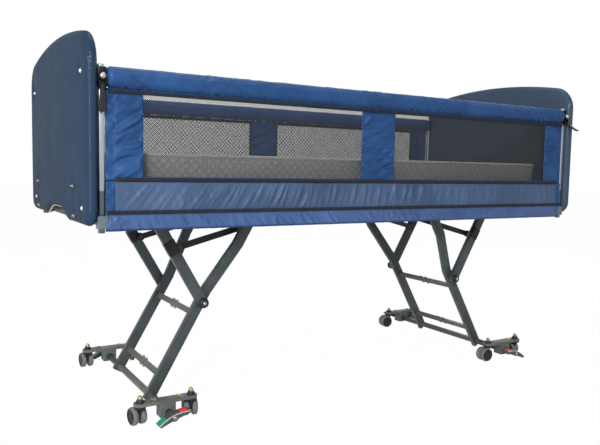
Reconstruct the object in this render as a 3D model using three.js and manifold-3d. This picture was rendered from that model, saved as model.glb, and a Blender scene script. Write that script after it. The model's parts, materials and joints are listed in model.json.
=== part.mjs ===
// Pediatric hospital cot: a full-length hi-lo bed with padded end boards, drop sides of blue
// cloth and net, and two folding leg sets that stand on castered carriages.
// Millimetres, +Z up. The origin is on the floor under the middle of the bed, the head end is
// at -X and the near side is at -Y. The foot end's lift is the head end's turned half round.
import * as THREE from 'three';
import { mergeVertices } from 'three/addons/utils/BufferGeometryUtils.js';
import Module from 'manifold-3d';

const wasm = await Module();
wasm.setup();

// Clearances
const seatGap = 0.3; // between pieces that rest on or touch each other
const runGap = 0.3; // round a pin or journal that turns
const slideGap = 0.5; // round a post or roller that slides

// Lift: link and leg share a mid pivot, and the link is half as long as the leg
const legHalf = 368; // foot axle to mid pivot, mid pivot to roller, and mid pivot to link top
const legAngle = THREE.MathUtils.degToRad(60);
const liftX = 800; // link's top pivot, straight above the foot axle
const footAxleZ = 40;
const legY = 192; // leg's middle plane below the bend
const legTopY = 250; // and above it
const legWidth = 22;
const legDepth = 38;
const legTail = 20; // leg past the foot axle
const legTopTail = 3; // leg past the roller's middle, so that its corners turn clear of the deck
const bendStart = 42; // outward bend, measured up the leg from the mid pivot
const bendLength = 200;
const axleRadius = 13;
const rungRise = [75, 320]; // crossbars, measured up the leg from the foot axle
const rungHeight = 22;
const rungThick = 12;
const rollerRadius = 15;
const rollerLength = 26;
const linkGap = 4; // leg to link, side by side
const linkWidth = 22;
const linkDepth = 38;
const torqueRadius = 17;
const journalRadius = 12;
const midPinRadius = 9;
const midKnobRadius = 17;
const midKnobLength = 13;
const crankRadius = 150; // crank pin from the link's top pivot
const crankAngle = THREE.MathUtils.degToRad(-52);
const crankPinRadius = 5;
const crankBoss = 15;
const crankThick = 10;
const pushBarThick = 10;
const pushBarDepth = 22;
const pushBarLength = 380;
const pushBarGap = 0.7;
const crossTubeRadius = 11;
const yokeSlack = 9; // room round the cross tube in the yoke, where the linkage is open
const yokeWall = 9;
const yokeWidth = 26;
const driveDrop = 22.395; // actuator's centre line below the link's top pivot
const rodRadius = 10;
const rodTravel = 75;
const rodGrip = 60; // rod inside the actuator at its longest
const driveGap = 12; // yoke to actuator when the rod is drawn in
const driveLength = 212;
const driveWidth = 56;
const driveHeight = 52;
const motorRadius = 25;
const motorLength = 130;
const lugLength = 60;
const lugWidth = 30;

// Bed frame
const postX = 1030;
const postY = 441;
const postSide = 18;
const postTopRise = 402; // above the deck
const postFootDrop = 90; // below the deck
const railWall = 4;
const railFlange = 30;
const beamWidth = 30;
const beamWall = 3;
const beamToPost = 6;
const shoeSide = 30;
const shoeWall = 4; // outside the post, towards the board
const deckDepth = 38;
const deckSkin = 6;
const deckRim = 6;
const deckMargin = 16; // deck end short of the post's middle
const joistWidth = 26;
const joistCount = 7;
const spineWidth = 50;
const slotEdge = 60;

// End boards
const boardThick = 42;
const boardPast = 29; // board edge past the post's middle plane
const boardTopRise = 535; // above the deck, in the middle
const boardDrop = 70; // below the deck
const boardTopArc = 2300;
const boardCorner = 80;
const boardArchHalf = 190;
const boardArchRise = 36;
const boardCrown = 8;
const boardEdgeRound = 20;
const tuftDepth = 6;
const whiteBoltIn = 84; // bolts from the board's side edge
const brassBoltIn = 167;
const whiteBoltRise = [-19, 385]; // bolts above the deck
const brassBoltRise = [-47, 45];

// Mattress
const mattressLength = 1900;
const mattressWidth = 804;
const mattressHeight = 148;
const mattressCorner = 60;
const mattressEdge = 22;
const mattressCrown = 7; // of the height, drawn down towards the edges
const mattressDrawIn = 5;

// Drop sides
const railTubeRadius = 16;
const padRadius = 34;
const padEndGap = 26; // pad end short of the post's middle
const padPucker = 2.5;
const padPuffs = 8;
const railBelowPost = 36; // rail's middle below the post's top
const sliderIn = 14; // slider block from the post's middle, towards the bed
const sliderOut = 11; // and towards the board
const sliderHalfDepth = 12;
const sliderHeight = 56;
const knobRadius = 11;
const knobReach = 16;
const leverLength = 72;
const leverWidth = 14;
const leverPinRadius = 3;
const leverEye = 6.5;
const leverPinDrop = 28; // lever pin below the rail's middle
const leverPinOut = 7.5; // lever pin outside the slider's face
const earThick = 3;
const leverSwung = THREE.MathUtils.degToRad(59); // foot-end levers stand out in the photograph
const panelEndGap = 18; // cloth end short of the post's middle
const panelOut = 9; // cloth's inner face outside the post's middle plane
const panelThick = 5;
const skirtTopRise = 66; // above the deck
const skirtDrop = 85; // below the deck
const lowTapeRise = -29; // lower tape's middle above the deck
const tapeHeight = 10;
const tapeProud = 1;
const skirtThick = 5;
const pleatCount = 46;
const pleatDepth = 4;
const hemFolds = 18;
const hemFoldDepth = 2;
const windowTop = 11; // cloth left above the windows
const windowBottom = 5;
const windowLeft = [-908, -98]; // windows along X
const windowRight = [56, 903];
const netThick = 3;
const netMargin = 12; // net behind the cloth round the windows
const netColumns = 13;
const netRows = 2;
const netStrand = 10;

// Carriages, casters and brake pedals
const carriageY = 354;
const stemHalf = 88; // caster stems from the foot axle
const plateTop = 78;
const plateThick = 10;
const plateHalfWidth = 21;
const bracketHalfLength = 26;
const bracketIn = 20;
const bracketOut = 24;
const bracketDepth = 18; // below the foot axle
const axleWall = 5; // bracket left outside the axle's end
const plateBoltRadius = 8;
const plateBoltHeight = 5;
const plateBoltX = 42;
const wheelRadius = 30;
const wheelReach = 24; // twin wheels' outer face from the caster's middle
const wheelInner = 6;
const hubRadius = 20;
const hubRecess = 2;
const treadRound = 3;
const casterAxleRadius = 5;
const casterTrail = 20;
const webThick = 8;
const webBoss = 12;
const turretRadius = 20;
const turretGap = 1;
const stemRadius = 6;
const nutRadius = 11;
const nutHeight = 20;
const pedalPinRadius = 6;
const pedalHubRadius = 11;
const pedalTilt = THREE.MathUtils.degToRad(19);
const pedalHalf = 50;
const pedalIn = 26; // tread from the bracket's outer face
const pedalWidth = 38;
const pedalThick = 8;

// Facets
const barSides = 12;
const pinSides = 8; // for bars under slimRadius
const slimRadius = 7.5;
const wheelSides = 12;
const arcSteps = 5;

// Places that follow from the sizes above
const liftTopZ = footAxleZ + 2 * legHalf * Math.sin(legAngle);
const railHalf = rollerRadius + slideGap + railWall;
const railY = legTopY + legWidth / 2 + slideGap; // rail's open edge
const railWebY = railY + railFlange;
const linkY = legY + legWidth / 2 + linkGap;
const linkOuterY = linkY + linkWidth;
const pushBarY = linkY - pushBarGap;
const midX = -liftX + legHalf * Math.cos(legAngle);
const midZ = liftTopZ - legHalf * Math.sin(legAngle);
const crankX = -liftX + crankRadius * Math.cos(crankAngle);
const crankZ = liftTopZ + crankRadius * Math.sin(crankAngle);
const driveZ = liftTopZ - driveDrop;
const crossX = crankX + Math.sqrt(pushBarLength ** 2 - (driveZ - crankZ) ** 2);
const deckBottom = liftTopZ + railHalf + seatGap;
const deckTop = deckBottom + deckDepth;
const deckHalfLength = postX - deckMargin;
const deckHalfWidth = postY + panelOut - seatGap;
const beamX = postX - postSide / 2 - beamToPost - beamWidth / 2;
const boardInnerX = postX + postSide / 2 + shoeWall + seatGap;
const boardHalf = postY + boardPast;
const boardBottom = deckTop - boardDrop;
const boardTop = deckTop + boardTopRise;
const postTop = deckTop + postTopRise;
const postFoot = deckTop - postFootDrop;
const railZ = postTop - railBelowPost;
const leverPinY = postY + sliderHalfDepth + leverPinOut;
const leverPinZ = railZ - leverPinDrop;
const panelY = postY + panelOut;
const panelHalf = postX - panelEndGap;
const skirtTop = deckTop + skirtTopRise;
const skirtBottom = deckTop - skirtDrop;
const padSag = padRadius * Math.cos(Math.PI / barSides);
const panelTop = railZ - Math.sqrt(padSag ** 2 - panelOut ** 2) - seatGap;
const plateBottom = plateTop - plateThick;
const bracketOuterY = carriageY + bracketOut;
const axleEndY = bracketOuterY - axleWall - seatGap;

// Finishes
const finish = (color, roughness, metalness = 0) =>
  new THREE.MeshStandardMaterial({ color, roughness, metalness });
const slatePaint = finish(0x3f4a50, 0.45, 0.4);
const blackPaint = finish(0x1c1f22, 0.5, 0.3);
const zinc = finish(0xb9bcc0, 0.35, 0.9);
const aluminium = finish(0xc4cad2, 0.35, 0.9);
const navyVinyl = finish(0x34435c, 0.4);
const blueNylon = finish(0x2b4f96, 0.5);
const slateNylon = finish(0x33476f, 0.45);
const blackNet = finish(0x22242a, 0.8);
const greyTicking = finish(0xb9b6ba, 0.9);
const deckPlastic = finish(0x8a9095, 0.7);
const blackPlastic = finish(0x202326, 0.5);
const treadRubber = finish(0x55595c, 0.8);

// Solids
const vec = (x, y, z) => new THREE.Vector3(x, y, z);

function signedVolume(points, corners) {
  let six = 0;
  const [a, b, c] = [vec(), vec(), vec()];
  for (let i = 0; i < corners.length; i += 3) {
    [a, b, c].forEach((p, k) => p.fromBufferAttribute(points, corners[i + k]));
    six += a.dot(b.cross(c));
  }
  return six / 6;
}

// A closed geometry as a solid: shared corner points, no collapsed triangles, faces outward
function solidOf(geometry) {
  geometry.deleteAttribute('normal');
  geometry.deleteAttribute('uv');
  const merged = mergeVertices(geometry);
  const points = merged.getAttribute('position');
  const corners = [];
  for (let i = 0; i < merged.index.count; i += 3) {
    const [a, b, c] = [0, 1, 2].map((k) => merged.index.getX(i + k));
    if (a !== b && b !== c && c !== a) corners.push(a, b, c);
  }
  if (signedVolume(points, corners) < 0) corners.reverse();
  const vertProperties = new Float32Array(points.array);
  return new wasm.Manifold(
    new wasm.Mesh({ numProp: 3, vertProperties, triVerts: new Uint32Array(corners) }),
  );
}

function node(name, solid, material) {
  const { vertProperties, triVerts } = solid.getMesh();
  const geometry = new THREE.BufferGeometry();
  geometry.setAttribute('position', new THREE.BufferAttribute(vertProperties, 3));
  geometry.setIndex(new THREE.BufferAttribute(triVerts, 1));
  geometry.computeVertexNormals();
  const mesh = new THREE.Mesh(geometry, material);
  mesh.name = name;
  return mesh;
}

const join = (solids) => solids.reduce((whole, next) => whole.add(next));
const cut = (solid, tools) => tools.reduce((left, tool) => left.subtract(tool), solid);

function block(xs, ys, zs) {
  const spans = [xs, ys, zs].map(([lo, hi]) => [Math.min(lo, hi), Math.max(lo, hi)]);
  const middle = spans.map(([lo, hi]) => (lo + hi) / 2);
  const sizes = spans.map(([lo, hi]) => hi - lo);
  return solidOf(new THREE.BoxGeometry(...sizes).translate(...middle));
}

const sidesFor = (radius) => (radius < slimRadius ? pinSides : barSides);

function roundBar(start, end, radius, endRadius = radius, sides = sidesFor(radius)) {
  const [a, b] = [vec(...start), vec(...end)];
  const along = b.clone().sub(a);
  const geometry = new THREE.CylinderGeometry(endRadius, radius, along.length(), sides);
  const turn = new THREE.Quaternion().setFromUnitVectors(vec(0, 1, 0), along.normalize());
  geometry.applyQuaternion(turn);
  return solidOf(geometry.translate(...a.add(b).multiplyScalar(0.5)));
}

// The tool for a bore that a pin of this radius turns in, wide enough across its flats
function boreFor(pinRadius, start, end) {
  const sides = sidesFor(pinRadius);
  const radius = (pinRadius + runGap) / Math.cos(Math.PI / sides);
  return roundBar(start, end, radius, radius, sides);
}

// A flat outline carried along one axis. Points are [y, z] along x, [x, z] along y, [x, y] along z.
const sweepFrames = {
  x: [vec(0, 1, 0), vec(0, 0, 1), vec(1, 0, 0)],
  y: [vec(1, 0, 0), vec(0, 0, 1), vec(0, -1, 0)],
  z: [vec(1, 0, 0), vec(0, 1, 0), vec(0, 0, 1)],
};
function sweep(axis, points, [from, to], holes = []) {
  const [lo, hi] = [Math.min(from, to), Math.max(from, to)];
  const shape = new THREE.Shape(points.map(([a, b]) => new THREE.Vector2(a, b)));
  const geometry = new THREE.ExtrudeGeometry(shape, { depth: hi - lo, bevelEnabled: false });
  const frame = new THREE.Matrix4().makeBasis(...sweepFrames[axis]);
  const start = sweepFrames[axis][2].clone().multiplyScalar(axis === 'y' ? -hi : lo);
  const solid = solidOf(geometry.applyMatrix4(frame.setPosition(start)));
  return cut(solid, holes.map((hole) => sweep(axis, hole, [lo - 1, hi + 1])));
}

// A profile of [radius, height] pairs turned about an axis through a point
function turned(profile, middle, axis, sides, phase = 0) {
  const flat = profile.map(([r, h]) => new THREE.Vector2(r, h));
  const geometry = new THREE.LatheGeometry(flat, sides, phase);
  const turn = new THREE.Quaternion().setFromUnitVectors(vec(0, 1, 0), vec(...axis));
  return solidOf(geometry.applyQuaternion(turn).translate(...middle));
}

const rectangle = ([x0, x1], [y0, y1]) => [[x0, y0], [x1, y0], [x1, y1], [x0, y1]];

// A bar's outline with round ends, from one point to another
function stadium([ax, ay], [bx, by], radius) {
  const heading = Math.atan2(by - ay, bx - ax);
  const points = [];
  for (const [x, y, start] of [[bx, by, heading - Math.PI / 2], [ax, ay, heading + Math.PI / 2]]) {
    for (let i = 0; i <= arcSteps; i += 1) {
      const a = start + (Math.PI * i) / arcSteps;
      points.push([x + radius * Math.cos(a), y + radius * Math.sin(a)]);
    }
  }
  return points;
}

// A stretch of Y on one side of the bed, from its distances to the middle plane
const onSide = (side, inner, outer) => [side * inner, side * outer];
const bothSides = [-1, 1];

// Head-end lift, in the bed's frame. The foot end uses the same solids turned half round.
// The leg frame is made flat: x runs up the leg from the foot axle, y across the bed.
function legFrame() {
  const legEnd = 2 * legHalf + legTopTail;
  const bendFoot = legHalf + bendStart;
  const bendHead = bendFoot + bendLength;
  const stations = [[-legTail, legY], [bendFoot, legY], [bendHead, legTopY], [legEnd, legTopY]];
  const pieces = [roundBar([0, -axleEndY, 0], [0, axleEndY, 0], axleRadius)];
  const bores = [];
  for (const side of bothSides) {
    const edge = (shift) => stations.map(([x, y]) => [x, side * (y + shift)]);
    const outline = [...edge(legWidth / 2), ...edge(-legWidth / 2).reverse()];
    const face = legTopY + legWidth / 2;
    const roller = [face - railWall, face + rollerLength].map((y) => [2 * legHalf, side * y, 0]);
    const pivot = [legY - legWidth, legY + legWidth].map((y) => [legHalf, side * y, 0]);
    pieces.push(sweep('z', outline, [-legDepth / 2, legDepth / 2]));
    pieces.push(roundBar(...roller, rollerRadius));
    bores.push(boreFor(midPinRadius, ...pivot));
  }
  for (const rise of rungRise) {
    const xs = [rise - rungHeight / 2, rise + rungHeight / 2];
    pieces.push(block(xs, [-legY, legY], [-rungThick / 2, rungThick / 2]));
  }
  return cut(join(pieces), bores);
}

function linkFrame() {
  const top = [-liftX, liftTopZ];
  const mid = [midX, midZ];
  const crank = [crankX, crankZ];
  const rootShare = crankRadius * Math.cos(crankAngle + legAngle) / legHalf;
  const crankRoot = top.map((v, i) => v + (mid[i] - v) * rootShare);
  const pieces = [
    roundBar([-liftX, -linkOuterY, liftTopZ], [-liftX, linkOuterY, liftTopZ], torqueRadius),
  ];
  for (const side of bothSides) {
    const pin = ([x, z], inner, outer, radius, endRadius) =>
      roundBar([x, side * inner, z], [x, side * outer, z], radius, endRadius);
    const crankIn = linkY + (linkWidth - crankThick) / 2;
    const midPinIn = legY - legWidth / 2;
    pieces.push(
      sweep('y', stadium(top, mid, linkDepth / 2), onSide(side, linkY, linkOuterY)),
      sweep('y', stadium(crankRoot, crank, crankBoss), onSide(side, crankIn, crankIn + crankThick)),
      pin(crank, pushBarY - pushBarThick, crankIn + crankThick / 2, crankPinRadius),
      pin(mid, midPinIn, linkY + linkWidth / 2, midPinRadius),
      pin(mid, linkOuterY - seatGap, linkOuterY + midKnobLength, midKnobRadius, midPinRadius),
      pin(top, linkOuterY - seatGap, railWebY + railWall, journalRadius),
    );
  }
  return join(pieces);
}

function pushFrame() {
  const crank = [crankX, crankZ];
  const pieces = [
    roundBar([crossX, -pushBarY, driveZ], [crossX, pushBarY, driveZ], crossTubeRadius),
  ];
  const bores = [];
  for (const side of bothSides) {
    const ys = onSide(side, pushBarY - pushBarThick, pushBarY);
    const eye = (wider) =>
      [pushBarY - pushBarThick - wider, pushBarY + wider].map((y) => [crankX, side * y, crankZ]);
    pieces.push(sweep('y', stadium(crank, [crossX, driveZ], pushBarDepth / 2), ys));
    pieces.push(roundBar(...eye(0), crankBoss));
    bores.push(boreFor(crankPinRadius, ...eye(1)));
  }
  return cut(join(pieces), bores);
}

const yokeInner = crossTubeRadius + yokeSlack;
const yokeOuter = yokeInner + yokeWall;
const driveFront = crossX + yokeOuter + rodTravel + driveGap;

function actuatorRod() {
  const frameAt = (half) => rectangle([crossX - half, crossX + half], [driveZ - half, driveZ + half]);
  const ys = [-yokeWidth / 2, yokeWidth / 2];
  const rodStart = crossX + yokeOuter - yokeWall / 2;
  return join([
    sweep('y', frameAt(yokeOuter), ys, [frameAt(yokeInner)]),
    roundBar([rodStart, 0, driveZ], [driveFront + rodGrip, 0, driveZ], rodRadius),
  ]);
}

function actuator() {
  const driveBack = driveFront + driveLength;
  const zs = [driveZ - driveHeight / 2, driveZ + driveHeight / 2];
  const lugEnd = driveBack - lugLength / 2;
  const motorY = driveWidth / 2 + motorRadius / 2;
  const body = join([
    block([driveFront, driveBack], [-driveWidth / 2, driveWidth / 2], zs),
    block([lugEnd - lugLength, lugEnd], [-lugWidth / 2, lugWidth / 2], [driveZ, deckBottom - seatGap]),
    roundBar([driveBack - motorLength, motorY, driveZ], [driveBack, motorY, driveZ], motorRadius),
  ]);
  const boreEnd = driveFront + rodGrip + rodTravel + driveGap;
  return body.subtract(boreFor(rodRadius, [driveFront - 1, 0, driveZ], [boreEnd, 0, driveZ]));
}

function carriage(side) {
  const plate = stadium(
    [-liftX - stemHalf, side * carriageY], [-liftX + stemHalf, side * carriageY], plateHalfWidth,
  );
  const bracketX = [-liftX - bracketHalfLength, -liftX + bracketHalfLength];
  const bracketY = onSide(side, carriageY - bracketIn, bracketOuterY);
  const pinEnd = bracketOuterY + pedalIn + pedalWidth / 2;
  const pieces = [
    sweep('z', plate, [plateBottom, plateTop]),
    block(bracketX, bracketY, [footAxleZ - bracketDepth, plateBottom + seatGap]),
    roundBar(
      [-liftX, side * (bracketOuterY - seatGap), footAxleZ],
      [-liftX, side * pinEnd, footAxleZ],
      pedalPinRadius,
    ),
  ];
  const axle = [carriageY - bracketIn - 1, bracketOuterY - axleWall];
  const bores = [boreFor(axleRadius, ...axle.map((y) => [-liftX, side * y, footAxleZ]))];
  for (const end of bothSides) {
    const upright = (x, heights) => heights.map((z) => [-liftX + end * x, side * carriageY, z]);
    const bolt = upright(plateBoltX, [plateTop - seatGap, plateTop + plateBoltHeight]);
    pieces.push(roundBar(...bolt, plateBoltRadius));
    bores.push(boreFor(stemRadius, ...upright(stemHalf, [plateBottom - 1, plateTop + 1])));
  }
  return cut(join(pieces), bores);
}

// Casters and pedals are made round their own axis and placed by their mesh
function casterFork() {
  const turretBottom = 2 * wheelRadius + turretGap;
  const turretTop = plateBottom - seatGap;
  const axle = [casterTrail, wheelRadius];
  const web = stadium([0, turretBottom], axle, webBoss);
  const nutBase = plateTop + seatGap;
  const fork = join([
    roundBar([0, 0, turretBottom], [0, 0, turretTop], turretRadius),
    sweep('y', web, [-webThick / 2, webThick / 2]).intersect(
      block([-turretRadius, 2 * wheelRadius], [-webThick, webThick], [0, turretTop]),
    ),
    roundBar([0, 0, turretTop - seatGap], [0, 0, nutBase + seatGap], stemRadius),
    roundBar([0, 0, nutBase], [0, 0, nutBase + nutHeight], nutRadius, nutRadius / 2),
  ]);
  const axleEnds = [-webThick, webThick].map((y) => [casterTrail, y, wheelRadius]);
  return fork.subtract(boreFor(casterAxleRadius, ...axleEnds));
}

function twinWheel() {
  const rim = wheelRadius / Math.cos(Math.PI / wheelSides); // flats of the tread at the wheel's radius
  const half = [
    [0, wheelReach - hubRecess],
    [hubRadius, wheelReach - hubRecess],
    [hubRadius + hubRecess, wheelReach],
    [rim, wheelReach - treadRound],
    [rim, wheelInner],
    [casterAxleRadius, wheelInner],
  ];
  const profile = [...half, ...half.map(([r, h]) => [r, -h]).reverse()];
  return turned(profile, [casterTrail, 0, wheelRadius], [0, 1, 0], wheelSides, Math.PI / wheelSides);
}

function pedal(side) {
  const hubIn = bracketOuterY + slideGap;
  const treadIn = bracketOuterY + pedalIn;
  const treadOut = treadIn + pedalWidth;
  const tread = [
    [-pedalHalf, -pedalThick],
    [0, -pedalThick / 2],
    [pedalHalf, -pedalThick],
    [pedalHalf, 0],
    [pedalHubRadius, pedalHubRadius],
    [-pedalHubRadius, pedalHubRadius],
    [-pedalHalf, 0],
  ];
  const hub = roundBar([0, side * hubIn, 0], [0, side * treadOut, 0], pedalHubRadius);
  const rocker = sweep('y', tread, onSide(side, treadIn, treadOut));
  const bore = [hubIn - 1, treadOut + 1].map((y) => [0, side * y, 0]);
  return hub.add(rocker).subtract(boreFor(pedalPinRadius, ...bore));
}

// Bed frame
function sideRail(side) {
  const [zLow, zHigh] = [liftTopZ - railHalf, liftTopZ + railHalf];
  const web = railWebY - railWall;
  const outline = [
    [railY, zLow], [railWebY, zLow], [railWebY, zHigh], [railY, zHigh],
    [railY, zHigh - railWall], [web, zHigh - railWall], [web, zLow + railWall], [railY, zLow + railWall],
  ].map(([y, z]) => [side * y, z]);
  const railHalfLength = beamX - beamWidth / 2 - seatGap;
  const bores = bothSides.map((end) => {
    const journal = [web - 1, railWebY + 1].map((y) => [end * liftX, side * y, liftTopZ]);
    return boreFor(journalRadius, ...journal);
  });
  return cut(sweep('x', outline, [-railHalfLength, railHalfLength]), bores);
}

function endBeam(end) {
  const ring = (inset) =>
    rectangle(
      [end * beamX - beamWidth / 2 + inset, end * beamX + beamWidth / 2 - inset],
      [liftTopZ - railHalf + inset, liftTopZ + railHalf - inset],
    );
  const pieces = [sweep('y', ring(0), [-panelY, panelY], [ring(beamWall)])];
  const sockets = [];
  const socket = postSide / 2 + seatGap;
  for (const side of bothSides) {
    const shoeX = [beamX + beamWidth / 2 - 1, boardInnerX - seatGap].map((x) => end * x);
    const shoeY = [side * postY - shoeSide / 2, side * postY + shoeSide / 2];
    pieces.push(block(shoeX, shoeY, [liftTopZ - railHalf, liftTopZ + railHalf]));
    sockets.push(
      block(
        [end * postX - socket, end * postX + socket],
        [side * postY - socket, side * postY + socket],
        [postFoot, postTop],
      ),
    );
  }
  return cut(join(pieces), sockets);
}

function post(end, side) {
  const half = postSide / 2;
  const xs = [end * postX - half, end * postX + half];
  const ys = [side * postY - half, side * postY + half];
  const chamfer = half / 3;
  const outline = [
    [xs[0] + chamfer, ys[0]], [xs[1] - chamfer, ys[0]], [xs[1], ys[0] + chamfer],
    [xs[1], ys[1] - chamfer], [xs[1] - chamfer, ys[1]], [xs[0] + chamfer, ys[1]],
    [xs[0], ys[1] - chamfer], [xs[0], ys[0] + chamfer],
  ];
  return sweep('z', outline, [postFoot, postTop]);
}

function mattressDeck() {
  const pitch = (2 * deckHalfLength - joistWidth) / (joistCount - 1);
  const joists = Array.from({ length: joistCount }, (_, i) => -deckHalfLength + joistWidth / 2 + i * pitch);
  const slots = [];
  for (const x of joists.slice(0, -1)) {
    for (const side of bothSides) {
      const xs = [x + slotEdge, x + pitch - slotEdge];
      slots.push(rectangle(xs, onSide(side, spineWidth, deckHalfWidth - slotEdge)));
    }
  }
  const skinZ = deckTop - deckSkin;
  const under = [deckBottom, skinZ + 1];
  const xs = [-deckHalfLength, deckHalfLength];
  const outline = rectangle(xs, [-deckHalfWidth, deckHalfWidth]);
  const pieces = [sweep('z', outline, [skinZ, deckTop], slots)];
  for (const x of joists) {
    pieces.push(
      block([x - joistWidth / 2, x + joistWidth / 2], [-deckHalfWidth, deckHalfWidth], under),
    );
  }
  for (const side of bothSides) {
    pieces.push(block(xs, onSide(side, deckHalfWidth - deckRim, deckHalfWidth), under));
  }
  pieces.push(block(xs, [-spineWidth / 2, spineWidth / 2], under));
  return join(pieces);
}

// A padded board: a grid over the outline, crowned outside, drawn in where bolts hold it
function endBoard(end) {
  const reach = (x) => Math.sqrt(Math.max(boardCorner ** 2 - x ** 2, 0));
  const arcDrop = (y) => boardTopArc - Math.sqrt(boardTopArc ** 2 - y ** 2);
  const top = (y) => {
    const past = Math.max(Math.abs(y) - (boardHalf - boardCorner), 0);
    return boardTop - arcDrop(Math.min(Math.abs(y), boardHalf)) - boardCorner + reach(past);
  };
  const arch = (y) => {
    const share = Math.min(Math.abs(y) / boardArchHalf, 1);
    return boardBottom + boardArchRise * (0.5 + 0.5 * Math.cos(Math.PI * share ** 2));
  };
  const halfColumns = [
    boardHalf, boardHalf - boardEdgeRound, boardHalf - boardCorner * 0.6, boardHalf - whiteBoltIn,
    boardHalf - (whiteBoltIn + brassBoltIn) / 2, boardHalf - brassBoltIn, boardArchHalf,
    boardArchHalf / 2,
  ];
  const columns = [...halfColumns.map((y) => -y), 0, ...halfColumns.slice().reverse()];
  const boltColumn = boardHalf - brassBoltIn;
  const share = (z) => (z - arch(boltColumn)) / (top(boltColumn) - arch(boltColumn));
  const [lowBrass, highBrass] = brassBoltRise.map((rise) => share(deckTop + rise));
  const [lowWhite, highWhite] = whiteBoltRise.map((rise) => share(deckTop + rise));
  const gapUp = highWhite - highBrass;
  const edgeShare = boardEdgeRound / (boardTop - boardBottom);
  const rows = [
    0, lowBrass / 2, lowBrass, lowWhite, highBrass, highBrass + gapUp / 3, highBrass + gapUp * 0.67,
    highWhite, (highWhite + 1 - edgeShare) / 2, 1 - edgeShare, 1,
  ];
  const tufts = [];
  for (const side of bothSides) {
    for (const row of [lowWhite, highWhite]) tufts.push([side * (boardHalf - whiteBoltIn), row]);
    for (const row of [lowBrass, highBrass]) tufts.push([side * boltColumn, row]);
  }
  const [ny, nz] = [columns.length - 1, rows.length - 1];
  const geometry = new THREE.BoxGeometry(1, 1, 1, 2, ny, nz);
  const points = geometry.getAttribute('position');
  const soften = 1 - Math.SQRT1_2;
  for (let i = 0; i < points.count; i += 1) {
    const ix = Math.round((points.getX(i) + 0.5) * 2);
    const iy = Math.round((points.getY(i) + 0.5) * ny);
    const iz = Math.round((points.getZ(i) + 0.5) * nz);
    const [y, row] = [columns[iy], rows[iz]];
    const onRim = iy === 0 || iy === ny || iz === 0 || iz === nz;
    const inset = onRim && ix !== 1 ? boardEdgeRound * soften : 0;
    const z = arch(y) + row * (top(y) - arch(y));
    const crown = boardCrown * (1 - (y / boardHalf) ** 2) * 4 * row * (1 - row);
    const isTuft = tufts.some(([ty, tr]) => Math.abs(ty - y) < 1 && Math.abs(tr - row) < 1e-6);
    const outer = boardThick - boardCrown + (onRim ? -inset : crown - (isTuft ? tuftDepth : 0));
    const inner = onRim ? inset : 0;
    const depth = [inner, boardThick / 2, outer][ix];
    const shrinkY = iy === 0 || iy === ny ? inset : 0;
    const lift = (iz === 0 ? inset : 0) - (iz === nz ? inset : 0);
    points.setXYZ(i, end * (boardInnerX + depth), y - Math.sign(y) * shrinkY, z + lift);
  }
  return solidOf(geometry);
}

// A crowned mattress with round corners and sides drawn in between its edges
function mattress() {
  const [half, side] = [mattressLength / 2, mattressWidth / 2];
  const geometry = new THREE.BoxGeometry(2, 2, 2, 14, 8, 3);
  const points = geometry.getAttribute('position');
  const spread = (t, size) => Math.sign(t) * (size - (size - mattressCorner) * (1 - Math.abs(t)) ** 1.15
    - mattressCorner * (1 - Math.abs(t)));
  for (let i = 0; i < points.count; i += 1) {
    const [u, v, w] = [points.getX(i), points.getY(i), points.getZ(i)];
    let [x, y] = [spread(u, half), spread(v, side)];
    const cornerX = Math.max(Math.abs(x) - (half - mattressCorner), 0);
    const cornerY = Math.max(Math.abs(y) - (side - mattressCorner), 0);
    const far = Math.hypot(cornerX, cornerY);
    const pull = far > mattressCorner ? mattressCorner / far : 1;
    x -= Math.sign(x) * cornerX * (1 - pull);
    y -= Math.sign(y) * cornerY * (1 - pull);
    const onSideFace = Math.max(Math.abs(u), Math.abs(v)) === 1;
    const edge = onSideFace && Math.abs(w) === 1 ? mattressEdge * (1 - Math.SQRT1_2) : 0;
    const draw = onSideFace && Math.abs(w) < 0.5 ? mattressDrawIn : 0;
    if (Math.abs(u) === 1) x -= Math.sign(u) * (edge + draw);
    if (Math.abs(v) === 1) y -= Math.sign(v) * (edge + draw);
    const crown = mattressCrown * (1 - Math.max(u * u, v * v));
    const topDrop = w === 1 ? mattressCrown - crown + edge : 0;
    const z = deckTop + seatGap + (mattressHeight * (w + 1)) / 2 - topDrop + (w === -1 ? edge : 0);
    points.setXYZ(i, x, y, z);
  }
  return solidOf(geometry);
}

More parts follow.
